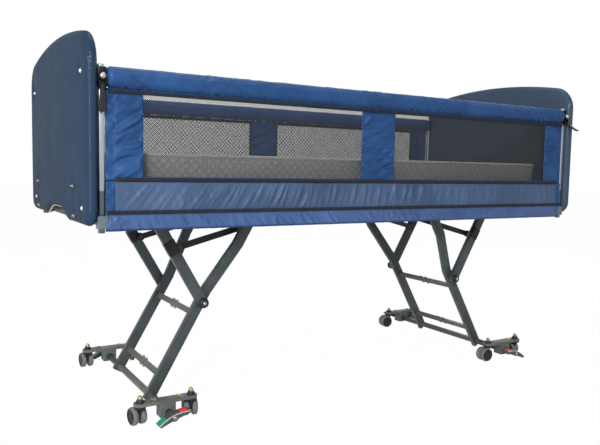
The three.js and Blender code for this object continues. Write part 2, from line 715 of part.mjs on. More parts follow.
// Drop sides
function topRail(side) {
  const sliderZ = [railZ - sliderHeight / 2, railZ + sliderHeight / 2];
  const frontY = postY + sliderHalfDepth;
  const hole = postSide / 2 + slideGap;
  const pieces = [];
  const holes = [];
  for (const end of bothSides) {
    const sliderX = [end * (postX - sliderIn), end * (postX + sliderOut)];
    const sliderY = onSide(side, postY - sliderHalfDepth, frontY);
    pieces.push(block(sliderX, sliderY, sliderZ));
    pieces.push(
      roundBar(
        [end * postX, side * (frontY - 1), railZ],
        [end * postX, side * (frontY + knobReach), railZ],
        knobRadius,
        knobRadius / 2,
      ),
    );
    for (const cheek of bothSides) {
      const cheekX = end * postX + cheek * (leverWidth / 2 + slideGap);
      const earX = [cheekX, cheekX + cheek * earThick];
      const earY = onSide(side, frontY - 1, leverPinY + leverPinRadius * 2);
      const earZ = [leverPinZ - leverPinRadius * 2, leverPinZ + leverPinDrop / 2];
      pieces.push(block(earX, earY, earZ));
    }
    const pinHalf = leverWidth / 2 + slideGap + earThick / 2;
    pieces.push(
      roundBar(
        [end * postX - pinHalf, side * leverPinY, leverPinZ],
        [end * postX + pinHalf, side * leverPinY, leverPinZ],
        leverPinRadius,
      ),
    );
    holes.push(
      block(
        [end * postX - hole, end * postX + hole],
        [side * postY - hole, side * postY + hole],
        [postFoot, postTop + 1],
      ),
    );
  }
  const tubeEnd = postX - sliderIn + 1;
  pieces.push(roundBar([-tubeEnd, side * postY, railZ], [tubeEnd, side * postY, railZ], railTubeRadius));
  return cut(join(pieces), holes);
}

// The padded sleeve round the top rail, with shallow puckers between its puffs
function railPad(side) {
  const half = postX - padEndGap;
  const steps = 2 * padPuffs;
  const outer = Array.from({ length: steps + 1 }, (_, i) => {
    const pucker = i === 0 || i === steps ? padPucker * 2 : (i % 2 === 0 ? padPucker : 0);
    return [padRadius - pucker, -half + (2 * half * i) / steps];
  });
  const bore = railTubeRadius + seatGap;
  const profile = [[bore, -half], ...outer, [bore, half], [bore, -half]];
  return turned(profile, [0, side * postY, railZ], [1, 0, 0], barSides);
}

// The latch lever hangs from its pin, which is at its own origin
function lever() {
  const xs = [-leverWidth / 2, leverWidth / 2];
  const arm = [
    [-leverEye, 0], [-leverEye, -leverEye], [-leverEye / 2, -leverLength],
    [leverEye / 3, -leverLength], [leverEye, -leverLength / 3], [leverEye, 0],
  ];
  const eye = roundBar([xs[0], 0, 0], [xs[1], 0, 0], leverEye);
  const bore = boreFor(leverPinRadius, [xs[0] - 1, 0, 0], [xs[1] + 1, 0, 0]);
  return sweep('x', arm, xs).add(eye).subtract(bore);
}

// The cloth between the rail pad and the skirt, with its two windows
function panelCloth(side) {
  const zs = [skirtTop + seatGap, panelTop];
  const windowZ = [zs[0] + windowBottom, zs[1] - windowTop];
  const windows = [windowLeft, windowRight].map((xs) => rectangle(xs, windowZ));
  const outline = rectangle([-panelHalf, panelHalf], zs);
  return sweep('y', outline, onSide(side, panelY, panelY + panelThick), windows);
}

// One net behind both windows, with diamond gaps
function panelNet(side) {
  const xs = [windowLeft[0] - netMargin, windowRight[1] + netMargin];
  const zs = [skirtTop + seatGap, panelTop - windowTop + netMargin / 2];
  const cell = [(xs[1] - xs[0]) / netColumns, (zs[1] - zs[0]) / netRows];
  const half = cell.map((size) => (size - netStrand) / 2);
  const gaps = [];
  const diamond = (x, z) => {
    if (x - half[0] < xs[0] || x + half[0] > xs[1] || z - half[1] < zs[0] || z + half[1] > zs[1]) return;
    gaps.push([[x - half[0], z], [x, z - half[1]], [x + half[0], z], [x, z + half[1]]]);
  };
  for (let i = 0; i < netColumns; i += 1) {
    for (let k = 0; k < netRows; k += 1) {
      diamond(xs[0] + (i + 0.5) * cell[0], zs[0] + (k + 0.5) * cell[1]);
      diamond(xs[0] + (i + 1) * cell[0], zs[0] + (k + 1) * cell[1]);
    }
  }
  const face = panelY - seatGap;
  return sweep('y', rectangle(xs, zs), onSide(side, face - netThick, face), gaps);
}

// The gathered skirt below the windows: pleats between two tapes, softer folds in the hem
function skirt(side) {
  const lowTape = deckTop + lowTapeRise;
  const folds = (count, depth, zs) => {
    const steps = 2 * count;
    const wave = Array.from({ length: steps + 1 }, (_, i) => [
      -panelHalf + (2 * panelHalf * i) / steps,
      side * (panelY + skirtThick + (i % 2 === 0 ? 0 : depth)),
    ]);
    return sweep('z', [[-panelHalf, side * panelY], ...wave, [panelHalf, side * panelY]], zs);
  };
  const tapeOut = panelY + skirtThick + pleatDepth + tapeProud;
  const tape = (top) =>
    block([-panelHalf, panelHalf], onSide(side, panelY, tapeOut), [top - tapeHeight, top]);
  return join([
    folds(pleatCount, pleatDepth, [lowTape, skirtTop - tapeHeight / 2]),
    folds(hemFolds, hemFoldDepth, [skirtBottom, lowTape]),
    tape(skirtTop),
    tape(lowTape + tapeHeight / 2),
  ]);
}

// Assembly
const cot = new THREE.Group();
const ends = { head: -1, foot: 1 };
const sides = { near: -1, far: 1 };

cot.add(node('mattress_deck', mattressDeck(), deckPlastic), node('mattress', mattress(), greyTicking));
for (const [endName, end] of Object.entries(ends)) {
  cot.add(node(`${endName}_end_beam`, endBeam(end), slatePaint));
  cot.add(node(`${endName}_board`, endBoard(end), navyVinyl));
}
for (const [sideName, side] of Object.entries(sides)) {
  cot.add(node(`${sideName}_side_rail`, sideRail(side), slatePaint));
  cot.add(node(`${sideName}_skirt`, skirt(side), slateNylon));
  cot.add(node(`${sideName}_panel_cloth`, panelCloth(side), blueNylon));
  cot.add(node(`${sideName}_panel_net`, panelNet(side), blackNet));
  cot.add(node(`${sideName}_top_rail`, topRail(side), aluminium));
  cot.add(node(`${sideName}_rail_pad`, railPad(side), blueNylon));
  for (const [endName, end] of Object.entries(ends)) {
    cot.add(node(`${sideName}_${endName}_post`, post(end, side), aluminium));
    const latch = node(`${sideName}_${endName}_lever`, lever(), blackPlastic);
    latch.position.set(end * postX, side * leverPinY, leverPinZ);
    latch.rotation.set(end < 0 ? 0 : side * leverSwung, 0, side < 0 ? 0 : Math.PI);
    cot.add(latch);
  }
}

// Caster headings at rest, by end, side and place: the outer caster is nearer the bed's end
const headings = {
  head: { near: { outer: 100, inner: 80 }, far: { outer: 95, inner: 85 } },
  foot: { near: { outer: 100, inner: 175 }, far: { outer: 80, inner: 170 } },
};

for (const [endName, end] of Object.entries(ends)) {
  const lift = new THREE.Group();
  lift.rotation.z = end < 0 ? 0 : Math.PI;
  const legs = node(`${endName}_leg_frame`, legFrame(), slatePaint);
  legs.position.set(-liftX, 0, footAxleZ);
  legs.rotation.y = -legAngle;
  lift.add(legs);
  lift.add(node(`${endName}_link_frame`, linkFrame(), slatePaint));
  lift.add(node(`${endName}_push_frame`, pushFrame(), blackPaint));
  lift.add(node(`${endName}_actuator_rod`, actuatorRod(), zinc));
  lift.add(node(`${endName}_actuator`, actuator(), blackPlastic));
  for (const [sideName, side] of Object.entries(sides)) {
    const localSide = end < 0 ? side : -side;
    lift.add(node(`${endName}_${sideName}_carriage`, carriage(localSide), slatePaint));
    const rocker = node(`${endName}_${sideName}_pedal`, pedal(localSide), blackPlastic);
    rocker.position.set(-liftX, 0, footAxleZ);
    rocker.rotation.y = -pedalTilt;
    lift.add(rocker);
  }
  cot.add(lift);
  for (const [sideName, side] of Object.entries(sides)) {
    for (const place of ['outer', 'inner']) {
      const caster = new THREE.Group();
      const shift = place === 'outer' ? stemHalf : -stemHalf;
      caster.position.set(end * (liftX + shift), side * carriageY, 0);
      caster.rotation.z = THREE.MathUtils.degToRad(headings[endName][sideName][place]);
      const name = `${endName}_${sideName}_${place}`;
      caster.add(node(`${name}_caster_fork`, casterFork(), blackPlastic));
      caster.add(node(`${name}_wheels`, twinWheel(), treadRubber));
      cot.add(caster);
    }
  }
}

export default cot;
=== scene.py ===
# Looks of a pediatric hospital cot: padded vinyl end boards, wrinkled nylon drop sides with black
# netting, a quilted mattress, powder-coated folding legs and braked twin-wheel casters.
# Metres, +Z up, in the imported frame: head end at -X, near side at -Y, floor at Z 0.
import json
import math
import bmesh
import bpy
import numpy as np
from mathutils import Matrix, Vector


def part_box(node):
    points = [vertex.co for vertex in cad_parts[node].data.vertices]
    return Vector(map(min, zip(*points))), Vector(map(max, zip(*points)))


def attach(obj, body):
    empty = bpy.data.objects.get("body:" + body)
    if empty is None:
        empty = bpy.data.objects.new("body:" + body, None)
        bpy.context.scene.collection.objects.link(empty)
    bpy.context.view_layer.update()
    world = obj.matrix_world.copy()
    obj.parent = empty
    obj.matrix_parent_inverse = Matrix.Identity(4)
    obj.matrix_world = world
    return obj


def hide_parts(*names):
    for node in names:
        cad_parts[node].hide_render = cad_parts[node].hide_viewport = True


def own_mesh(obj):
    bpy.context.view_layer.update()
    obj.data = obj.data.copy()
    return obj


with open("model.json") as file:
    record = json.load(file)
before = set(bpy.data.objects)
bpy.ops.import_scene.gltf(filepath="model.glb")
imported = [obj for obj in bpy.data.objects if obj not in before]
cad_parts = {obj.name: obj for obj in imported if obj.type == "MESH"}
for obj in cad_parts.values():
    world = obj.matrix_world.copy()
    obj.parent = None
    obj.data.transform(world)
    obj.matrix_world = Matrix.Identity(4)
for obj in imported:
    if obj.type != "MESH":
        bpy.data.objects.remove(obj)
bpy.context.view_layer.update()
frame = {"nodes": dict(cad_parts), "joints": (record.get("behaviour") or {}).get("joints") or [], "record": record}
nodes = frame["nodes"]
record = frame["record"]
ends = {"head": -1, "foot": 1}
sides = {"near": -1, "far": 1}
print("frame loaded:", len(nodes), "nodes")


# Mesh tools
def quadGrid(rows, cols, closeRows=False, closeCols=False):  # quads between neighbouring grid points
    r = np.arange(rows if closeRows else rows - 1)
    c = np.arange(cols if closeCols else cols - 1)
    i, j = np.meshgrid(r, c, indexing="ij")
    i2, j2 = (i + 1) % rows, (j + 1) % cols
    return np.stack([i * cols + j, i * cols + j2, i2 * cols + j2, i2 * cols + j], -1).reshape(-1, 4)


def meshPiece(name, points, faces, materials, body, slot, uv=None, faceMaterial=None, flat=False):
    points = np.asarray(points, float).reshape(-1, 3)
    mesh = bpy.data.meshes.new(name)
    mesh.from_pydata(points.tolist(), [], [list(map(int, f)) for f in faces])
    for m in materials:
        mesh.materials.append(m)
    if faceMaterial is not None:
        mesh.polygons.foreach_set("material_index", np.asarray(faceMaterial, np.int32))
    mesh.polygons.foreach_set("use_smooth", np.full(len(mesh.polygons), not flat))
    if uv is not None:
        loopVert = np.zeros(len(mesh.loops), np.int32)
        mesh.loops.foreach_get("vertex_index", loopVert)
        layer = mesh.uv_layers.new(name="cloth")
        layer.data.foreach_set("uv", np.asarray(uv, float).reshape(-1, 2)[loopVert].ravel())
    mesh.update()
    obj = bpy.data.objects.new(name, mesh)
    bpy.context.scene.collection.objects.link(obj)
    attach(obj, body)
    return obj


def closeShell(obj, gap=1e-5):  # merges doubled points and turns every face outwards
    bm = bmesh.new()
    bm.from_mesh(obj.data)
    bmesh.ops.remove_doubles(bm, verts=bm.verts, dist=gap)
    bmesh.ops.recalc_face_normals(bm, faces=bm.faces)
    bm.to_mesh(obj.data)
    bm.free()
    return obj


def solidPiece(name, shape, material, body, slot, flat=False):  # a closed shell in one finish
    return closeShell(meshPiece(name, *shape, [material], body, slot, flat=flat))


def cappedTube(rows, cols):  # quads round a tube of rings, and a cap on each end
    last = (rows - 1) * cols
    caps = [list(range(cols))[::-1], list(range(last, last + cols))]
    return quadGrid(rows, cols, closeCols=True).tolist() + caps


def stacked(shapes):  # several (points, faces) as one mesh
    points, faces, start = [], [], 0
    for p, f in shapes:
        points.append(np.asarray(p, float).reshape(-1, 3))
        faces += [[int(k) + start for k in face] for face in f]
        start += len(points[-1])
    return np.concatenate(points), faces


def thicken(obj, thickness):  # half of it on either side of the sheet
    mod = obj.modifiers.new("cloth_thickness", "SOLIDIFY")
    mod.thickness, mod.offset = thickness, 0.0
    mod.use_even_offset = False
    return obj


def axisFrame(axis):  # two directions square to axis, and axis itself, as rows
    w = np.array(axis, float) / np.linalg.norm(axis)
    u = np.cross([0, 0, 1] if abs(w[2]) < 0.9 else [1, 0, 0], w)
    u /= np.linalg.norm(u)
    return np.stack([u, np.cross(w, u), w])


def turned(profile, centre, axis, count, turn=0.0):
    # point(i, k) = centre + axis * height_i + radius_i * (u cos a_k + v sin a_k)
    profile = np.array(profile, float)
    angle = turn + np.linspace(0, 2 * np.pi, count, endpoint=False)
    u, v, w = axisFrame(axis)
    ring = np.cos(angle)[:, None] * u + np.sin(angle)[:, None] * v
    points = np.array(centre) + profile[:, None, 1:2] * w + profile[:, None, 0:1] * ring
    return points, cappedTube(len(profile), count)


def roundedBox(low, high, radius, steps=4):
    # a rounded rectangle in XY carried up Z, drawn in at both ends by the same quarter round
    low, high = np.array(low, float), np.array(high, float)
    radius = min(radius, *((high - low) / 2.001))
    a = np.linspace(0, np.pi / 2, steps)
    corner = [0.5 * np.pi * q + a for q in range(4)]
    sign = [(1, 1), (-1, 1), (-1, -1), (1, -1)]
    mid, half = (low + high) / 2, (high - low) / 2
    rise = np.concatenate([low[2] + radius * (1 - np.cos(a)), high[2] - radius * (1 - np.cos(a[::-1]))])
    inset = np.concatenate([radius * (1 - np.sin(a)), radius * (1 - np.sin(a[::-1]))])
    rings = []
    for z, d in zip(rise, inset):
        r = max(radius - d, radius * 0.02)
        xy = np.concatenate([np.stack([mid[0] + s[0] * (half[0] - radius) + r * np.cos(c),
                                       mid[1] + s[1] * (half[1] - radius) + r * np.sin(c)], -1)
                             for s, c in zip(sign, corner)])
        rings.append(np.concatenate([xy, np.full((len(xy), 1), z)], 1))
    return np.array(rings), cappedTube(len(rings), len(rings[0]))


def moved(shape, turnAxis, angle, shift):  # turns a shape about the origin, then shifts it
    points, faces = shape
    points = np.asarray(points, float).reshape(-1, 3)
    turn = np.array(Matrix.Rotation(angle, 3, Vector(turnAxis)))
    return points @ turn.T + np.array(shift), faces


def creases(x, z, seed, spanX, spanZ, plan):
    # sum of narrow ridges: height * exp(-(s/length)^2) * (exp(-(t/width)^2) - about half of it beside),
    # with s along and t across each crease
    rng = np.random.default_rng(seed)
    field = np.zeros(np.broadcast(x, z).shape)
    for _ in range(plan["count"]):
        cx, cz = rng.uniform(*spanX), rng.uniform(*spanZ)
        a, l, w, h = [rng.uniform(*plan[k]) for k in ("angle", "length", "width", "height")]
        s = (x - cx) * np.cos(a) + (z - cz) * np.sin(a)
        t = (z - cz) * np.cos(a) - (x - cx) * np.sin(a) + 0.25 * w * np.sin(3 * s / l)
        near = np.exp(-((t / w) ** 2)) - 0.55 * np.exp(-(((t - 1.7 * w) / (1.2 * w)) ** 2))
        field += h * np.exp(-((s / l) ** 2)) * near
    return field


def softStep(x, low, high):  # 0 below low, 1 above high, with a smooth rise between
    t = np.clip((x - low) / (high - low), 0, 1)
    return t * t * (3 - 2 * t)


# Finishes
def addNode(tree, kind, inputs=None, **settings):
    made = tree.nodes.new(kind)
    for key, value in settings.items():
        setattr(made, key, value)
    for key, value in (inputs or {}).items():
        if isinstance(value, bpy.types.NodeSocket):
            tree.links.new(value, made.inputs[key])
        else:
            made.inputs[key].default_value = value
    return made


def startFinish(name, colour, roughness, metallic=0.0, **sockets):
    mat = bpy.data.materials.new(name)
    mat.use_nodes = True
    mat.diffuse_color = (*colour, 1)
    tree = mat.node_tree
    shader = tree.nodes["Principled BSDF"]
    shader.inputs["Base Color"].default_value = (*colour, 1)
    shader.inputs["Roughness"].default_value = roughness
    shader.inputs["Metallic"].default_value = metallic
    for key, value in sockets.items():
        shader.inputs[key.replace("_", " ")].default_value = value
    return mat, tree, shader


def coords(tree, kind="Object", scale=(1, 1, 1), turn=(0, 0, 0)):
    source = addNode(tree, "ShaderNodeTexCoord").outputs[kind]
    return addNode(tree, "ShaderNodeMapping", {"Vector": source, "Scale": scale, "Rotation": turn}).outputs[0]


def mottle(tree, shader, colour, spread, scale, where, tint=(1, 1, 1)):
    # colour runs from a darker to a lighter, slightly tinted shade with a soft noise
    noise = addNode(tree, "ShaderNodeTexNoise", {"Vector": where, "Scale": scale, "Detail": 4.0})
    ramp = addNode(tree, "ShaderNodeValToRGB", {"Fac": noise.outputs["Fac"]})
    ramp.color_ramp.elements[0].position, ramp.color_ramp.elements[1].position = 0.3, 0.7
    ramp.color_ramp.elements[0].color = (*[c * (1 - spread) for c in colour], 1)
    ramp.color_ramp.elements[1].color = (*[c * (1 + spread) * t for c, t in zip(colour, tint)], 1)
    tree.links.new(ramp.outputs["Color"], shader.inputs["Base Color"])
    return ramp


def roughen(tree, shader, low, high, scale, where):
    noise = addNode(tree, "ShaderNodeTexNoise", {"Vector": where, "Scale": scale, "Detail": 3.0})
    span = addNode(tree, "ShaderNodeMapRange", {"Value": noise.outputs["Fac"], "From Min": 0.3,
                                                "From Max": 0.7, "To Min": low, "To Max": high})
    tree.links.new(span.outputs[0], shader.inputs["Roughness"])


def emboss(tree, shader, height, strength, distance, below=None):
    values = {"Height": height, "Strength": strength, "Distance": distance}
    if below is not None:
        values["Normal"] = below
    bump = addNode(tree, "ShaderNodeBump", values)
    tree.links.new(bump.outputs["Normal"], shader.inputs["Normal"])
    return bump.outputs["Normal"]


def weaveHeight(tree, where, pitch, join="MULTIPLY"):  # two crossed sets of waves, one thread each pitch
    waveScale = 0.314 / pitch  # a wave texture of scale 1 repeats after pi / 10
    warp, weft = [addNode(tree, "ShaderNodeTexWave", {"Vector": where, "Scale": waveScale},
                          bands_direction=d).outputs["Fac"] for d in "XY"]
    return addNode(tree, "ShaderNodeMath", {0: warp, 1: weft}, operation=join).outputs[0]


def paintFinish(name, colour, roughness):  # powder coat: fine orange peel, dusty patches
    mat, tree, shader = startFinish(name, colour, roughness, Specular_IOR_Level=0.2)
    where = coords(tree)
    mottle(tree, shader, colour, 0.16, 14.0, where, tint=(1.05, 1.02, 0.98))
    roughen(tree, shader, roughness - 0.08, roughness + 0.1, 30.0, where)
    peel = addNode(tree, "ShaderNodeTexNoise", {"Vector": where, "Scale": 620.0, "Detail": 2.0})
    emboss(tree, shader, peel.outputs["Fac"], 0.18, 0.0006)
    return mat


def metalFinish(name, colour, roughness, stretch):  # drawn metal: scratches along the piece
    mat, tree, shader = startFinish(name, colour, roughness, 1.0)
    where = coords(tree, scale=stretch)
    mottle(tree, shader, colour, 0.1, 60.0, where)
    roughen(tree, shader, roughness - 0.08, roughness + 0.12, 90.0, where)
    lines = addNode(tree, "ShaderNodeTexNoise", {"Vector": where, "Scale": 240.0, "Detail": 3.0})
    emboss(tree, shader, lines.outputs["Fac"], 0.1, 0.0004)
    return mat


def plasticFinish(name, colour, roughness):  # moulded plastic with a fine grain
    mat, tree, shader = startFinish(name, colour, roughness, Specular_IOR_Level=0.2)
    where = coords(tree)
    mottle(tree, shader, colour, 0.12, 40.0, where)
    roughen(tree, shader, roughness - 0.06, roughness + 0.1, 60.0, where)
    spark = addNode(tree, "ShaderNodeTexVoronoi", {"Vector": where, "Scale": 900.0})
    emboss(tree, shader, spark.outputs["Distance"], 0.15, 0.0004)
    return mat


def vinylFinish(name, colour):  # soft upholstery vinyl with a pebbled grain
    mat, tree, shader = startFinish(name, colour, 0.45, Specular_IOR_Level=0.005, Coat_Weight=0.045,
                                    Coat_IOR=3.0, Coat_Roughness=0.14)
    where = coords(tree)
    mottle(tree, shader, colour, 0.08, 4.0, where, tint=(0.98, 1.0, 1.04))
    roughen(tree, shader, 0.4, 0.48, 9.0, where)
    soft = addNode(tree, "ShaderNodeTexNoise", {"Vector": where, "Scale": 16.0, "Detail": 2.0})
    under = emboss(tree, shader, soft.outputs["Fac"], 0.03, 0.004)
    pebble = addNode(tree, "ShaderNodeTexVoronoi", {"Vector": where, "Scale": 520.0}, feature="SMOOTH_F1")
    emboss(tree, shader, pebble.outputs["Distance"], 0.06, 0.0006, under)
    return mat


def nylonFinish(name, colour, roughness, patch):  # coated nylon: fine weave, sheen, faded patches
    mat, tree, shader = startFinish(name, colour, roughness, Sheen_Weight=0.05, Sheen_Roughness=0.4,
                                    Specular_IOR_Level=0.16)
    shader.inputs["Sheen Tint"].default_value = (0.55, 0.68, 1.0, 1)
    where = coords(tree)
    mottle(tree, shader, colour, 0.2, patch, where, tint=(1.1, 1.05, 1.0))
    roughen(tree, shader, roughness - 0.06, roughness + 0.1, 40.0, where)
    slanted = coords(tree, scale=(1, 1, 1.6), turn=(0, 0.6, 0))
    crumple = addNode(tree, "ShaderNodeTexNoise", {"Vector": slanted, "Scale": 46.0, "Detail": 5.0})
    under = emboss(tree, shader, crumple.outputs["Fac"], 0.34, 0.004)
    emboss(tree, shader, weaveHeight(tree, coords(tree, "UV"), 0.0012), 0.2, 0.0004, under)
    return mat


def tickingFinish():  # grey knit with a small diamond quilt; along the quilt lines the colour is painted shade, darker where the quilting dips
    colour = (0.86, 0.87, 0.83)
    mat, tree, shader = startFinish("grey_ticking", colour, 0.85, Sheen_Weight=0.12)
    where = coords(tree)
    ramp = mottle(tree, shader, colour, 0.06, 26.0, where, tint=(1.02, 1.0, 1.02))
    diagonal = coords(tree, "UV", turn=(0, 0, 0.785))
    diamond = weaveHeight(tree, diagonal, 0.022, "MINIMUM")
    # painted shade: the knit's colour is scaled down along the diamond lines
    shade = addNode(tree, "ShaderNodeMapRange", {"Value": diamond, "To Min": 0.78, "To Max": 1.06})
    quiltShadedColour = addNode(tree, "ShaderNodeVectorMath", {0: ramp.outputs["Color"], "Scale": shade.outputs[0]},
                     operation="SCALE")
    tree.links.new(quiltShadedColour.outputs[0], shader.inputs["Base Color"])
    under = emboss(tree, shader, diamond, 0.6, 0.002)
    emboss(tree, shader, weaveHeight(tree, diagonal, 0.0035), 0.5, 0.0008, under)
    return mat


def webbingFinish():  # black binding tape with a twill
    colour = (0.01, 0.012, 0.018)
    mat, tree, shader = startFinish("black_tape", colour, 0.8, Specular_IOR_Level=0.25)
    mottle(tree, shader, colour, 0.3, 60.0, coords(tree))
    emboss(tree, shader, weaveHeight(tree, coords(tree, "UV", turn=(0, 0, 0.6)), 0.0018), 0.5, 0.0006)
    return mat


def threadFinish():  # black net thread
    colour = (0.008, 0.008, 0.01)
    mat, tree, shader = startFinish("black_net", colour, 0.75)
    mottle(tree, shader, colour, 0.3, 200.0, coords(tree))
    return mat


def zoned(mat, colour, axis, low, high):  # repaints where the distance along axis is from low to high
    tree = mat.node_tree
    shader = tree.nodes["Principled BSDF"]
    base = shader.inputs["Base Color"].links[0].from_socket
    place = addNode(tree, "ShaderNodeTexCoord").outputs["Object"]
    along = addNode(tree, "ShaderNodeSeparateXYZ", {0: place}).outputs[axis]
    size = addNode(tree, "ShaderNodeMath", {0: along}, operation="ABSOLUTE").outputs[0]
    past = addNode(tree, "ShaderNodeMath", {0: size, 1: low}, operation="GREATER_THAN").outputs[0]
    before = addNode(tree, "ShaderNodeMath", {0: size, 1: high}, operation="LESS_THAN").outputs[0]
    inside = addNode(tree, "ShaderNodeMath", {0: past, 1: before}, operation="MULTIPLY").outputs[0]
    mix = addNode(tree, "ShaderNodeMix", {0: inside, 6: base, 7: (*colour, 1)}, data_type="RGBA")
    tree.links.new(mix.outputs[2], shader.inputs["Base Color"])
    return mat


slateGrey, shoeGrey, bareMetal = (0.046, 0.058, 0.064), (0.1, 0.128, 0.145), (0.3, 0.34, 0.37)
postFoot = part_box("near_head_post")[0].z
# stretches of a piece in a second colour: the axis, and where along it the colour starts and ends; the hem's is
# painted shade along its curled bottom edge
zones = {"legFrame": ("Y", 0.0, 0.1806), "beamEnd": ("Y", 0.424, 0.5), "railEnd": ("X", 1.0145, 1.1),
         "postShoe": ("Z", postFoot - 0.001, postFoot + 0.125), "hem": ("Z", 0.6, 0.6565)}
slatePaint = paintFinish("slate_paint", slateGrey, 0.4)
blackPaint = paintFinish("black_paint", (0.014, 0.015, 0.017), 0.4)
# carriage paint: grey-green and lighter than the slate paint, partly its own tone and partly painted light
# standing in for light under the bed
carriagePaintPaintedLight = paintFinish("plate_paint", (0.1, 0.112, 0.108), 0.5)
legPaint = zoned(paintFinish("leg_paint", slateGrey, 0.34), (0.078, 0.075, 0.065), *zones["legFrame"])
beamPaint = zoned(paintFinish("beam_paint", slateGrey, 0.4), shoeGrey, *zones["beamEnd"])
postMetal = zoned(metalFinish("post_metal", bareMetal, 0.45, (8, 8, 0.4)), shoeGrey, *zones["postShoe"])
railMetal = zoned(metalFinish("rail_metal", bareMetal, 0.4, (0.4, 8, 8)), (0.02, 0.02, 0.022),
                  *zones["railEnd"])
zincRod = metalFinish("zinc_rod", (0.6, 0.61, 0.62), 0.3, (0.4, 8, 8))
nickel = metalFinish("bright_nickel", (0.7, 0.7, 0.7), 0.2, (1, 1, 1))
dullNickel = metalFinish("dull_nickel", (0.36, 0.34, 0.34), 0.3, (1, 1, 1))
yellowZinc = metalFinish("yellow_zinc", (0.36, 0.3, 0.18), 0.34, (1, 1, 1))
brownZinc = metalFinish("brown_zinc", (0.16, 0.13, 0.085), 0.45, (1, 1, 1))
navyVinyl = vinylFinish("navy_vinyl", (0.015, 0.033, 0.064))
# the foot board's vinyl is the head board's navy vinyl painted lighter: painted light standing in for the light
# and sheen on the foot board
footVinylPaintedLight = vinylFinish("grey_navy_vinyl", (0.04, 0.064, 0.1))
boardVinyl = {"head": navyVinyl, "foot": footVinylPaintedLight}
blueNylon = nylonFinish("blue_nylon", (0.014, 0.054, 0.162), 0.5, 9.0)
slateNylon = nylonFinish("slate_nylon", (0.044, 0.078, 0.152), 0.4, 6.0)
# painted shade: the hem is darker blue along its curled bottom edge
hemNylon = zoned(nylonFinish("hem_nylon", (0.045, 0.088, 0.215), 0.38, 8.0), (0.012, 0.045, 0.15),
                 *zones["hem"])
tapeBlack = webbingFinish()
netBlack = threadFinish()
ticking = tickingFinish()
deckPlastic = plasticFinish("deck_plastic", (0.25, 0.27, 0.29), 0.55)
blackPlastic = plasticFinish("black_plastic", (0.014, 0.015, 0.016), 0.42)
treadGrey = plasticFinish("grey_tread", (0.15, 0.152, 0.15), 0.6)
greenPad = plasticFinish("green_pad", (0.008, 0.24, 0.1), 0.45)
redPad = plasticFinish("red_pad", (0.75, 0.03, 0.028), 0.45)
tanPiping = plasticFinish("tan_piping", (0.42, 0.36, 0.22), 0.6)
palePiping = plasticFinish("pale_piping", (0.8, 0.75, 0.74), 0.6)
print("finishes made")


# Camera at the photograph's viewing angle
photo = {"width": 600, "focalPixels": 653.4, "place": (-1.5244, -2.3847, 0.8489),
         "yaw": 31.23, "pitch": 4.78, "roll": -1.12}
yaw, pitch, roll = [math.radians(photo[k]) for k in ("yaw", "pitch", "roll")]
forward = Vector((math.sin(yaw) * math.cos(pitch), math.cos(yaw) * math.cos(pitch), -math.sin(pitch)))
rightWay = Vector((math.cos(yaw), -math.sin(yaw), 0))
downWay = forward.cross(rightWay)
imageRight = math.cos(roll) * rightWay + math.sin(roll) * downWay
imageDown = math.cos(roll) * downWay - math.sin(roll) * rightWay
camera = bpy.data.objects.new("camera", bpy.data.cameras.new("camera"))
camera.data.sensor_width = 36
camera.data.lens = photo["focalPixels"] * camera.data.sensor_width / photo["width"]
camera.matrix_world = Matrix.Translation(photo["place"]) @ Matrix(
    (imageRight, -imageDown, -forward)).transposed().to_4x4()
bpy.context.scene.collection.objects.link(camera)
bpy.context.scene.camera = camera
bpy.context.scene.view_settings.view_transform = "Standard"


# Floor, backdrop and lamps
stageLook = {"size": 60.0, "floorColour": 0.9, "whiteShare": 0.988, "worldStrength": 0.22}


def seenDirectly(tree):  # 1 for what the camera sees, straight, mirrored or through a gap
    path = addNode(tree, "ShaderNodeLightPath")
    seen = path.outputs["Is Camera Ray"]
    for kind in ("Is Glossy Ray", "Is Transmission Ray"):
        both = {0: seen, 1: path.outputs[kind]}
        seen = addNode(tree, "ShaderNodeMath", both, operation="MAXIMUM").outputs[0]
    return seen


def makeStage():
    s = stageLook["size"] / 2
    meshFloor = bpy.data.meshes.new("floor")
    meshFloor.from_pydata([(-s, -s, 0), (s, -s, 0), (s, s, 0), (-s, s, 0)], [], [(0, 1, 2, 3)])
    floor = bpy.data.objects.new("floor", meshFloor)
    bpy.context.scene.collection.objects.link(floor)
    mat = bpy.data.materials.new("pale_floor")
    mat.use_nodes = True
    tree = mat.node_tree
    tree.nodes.clear()
    matte = addNode(tree, "ShaderNodeBsdfDiffuse", {"Color": (*[stageLook["floorColour"]] * 3, 1)})
    white = addNode(tree, "ShaderNodeEmission", {"Color": (1, 1, 1, 1), "Strength": 1.0})
    share = addNode(tree, "ShaderNodeMath", {0: seenDirectly(tree), 1: stageLook["whiteShare"]},
                    operation="MULTIPLY")
    both = {0: share.outputs[0], 1: matte.outputs[0], 2: white.outputs[0]}
    mix = addNode(tree, "ShaderNodeMixShader", both)
    addNode(tree, "ShaderNodeOutputMaterial", {"Surface": mix.outputs[0]})
    floor.data.materials.append(mat)
    world = bpy.data.worlds.new("studio")
    bpy.context.scene.world = world
    world.use_nodes = True
    tree = world.node_tree
    tree.nodes.clear()
    soft, white = [addNode(tree, "ShaderNodeBackground", {"Color": (1, 1, 1, 1), "Strength": strength})
                   for strength in (stageLook["worldStrength"], 1.0)]
    both = {0: seenDirectly(tree), 1: soft.outputs[0], 2: white.outputs[0]}
    mix = addNode(tree, "ShaderNodeMixShader", both)
    addNode(tree, "ShaderNodeOutputWorld", {"Surface": mix.outputs[0]})


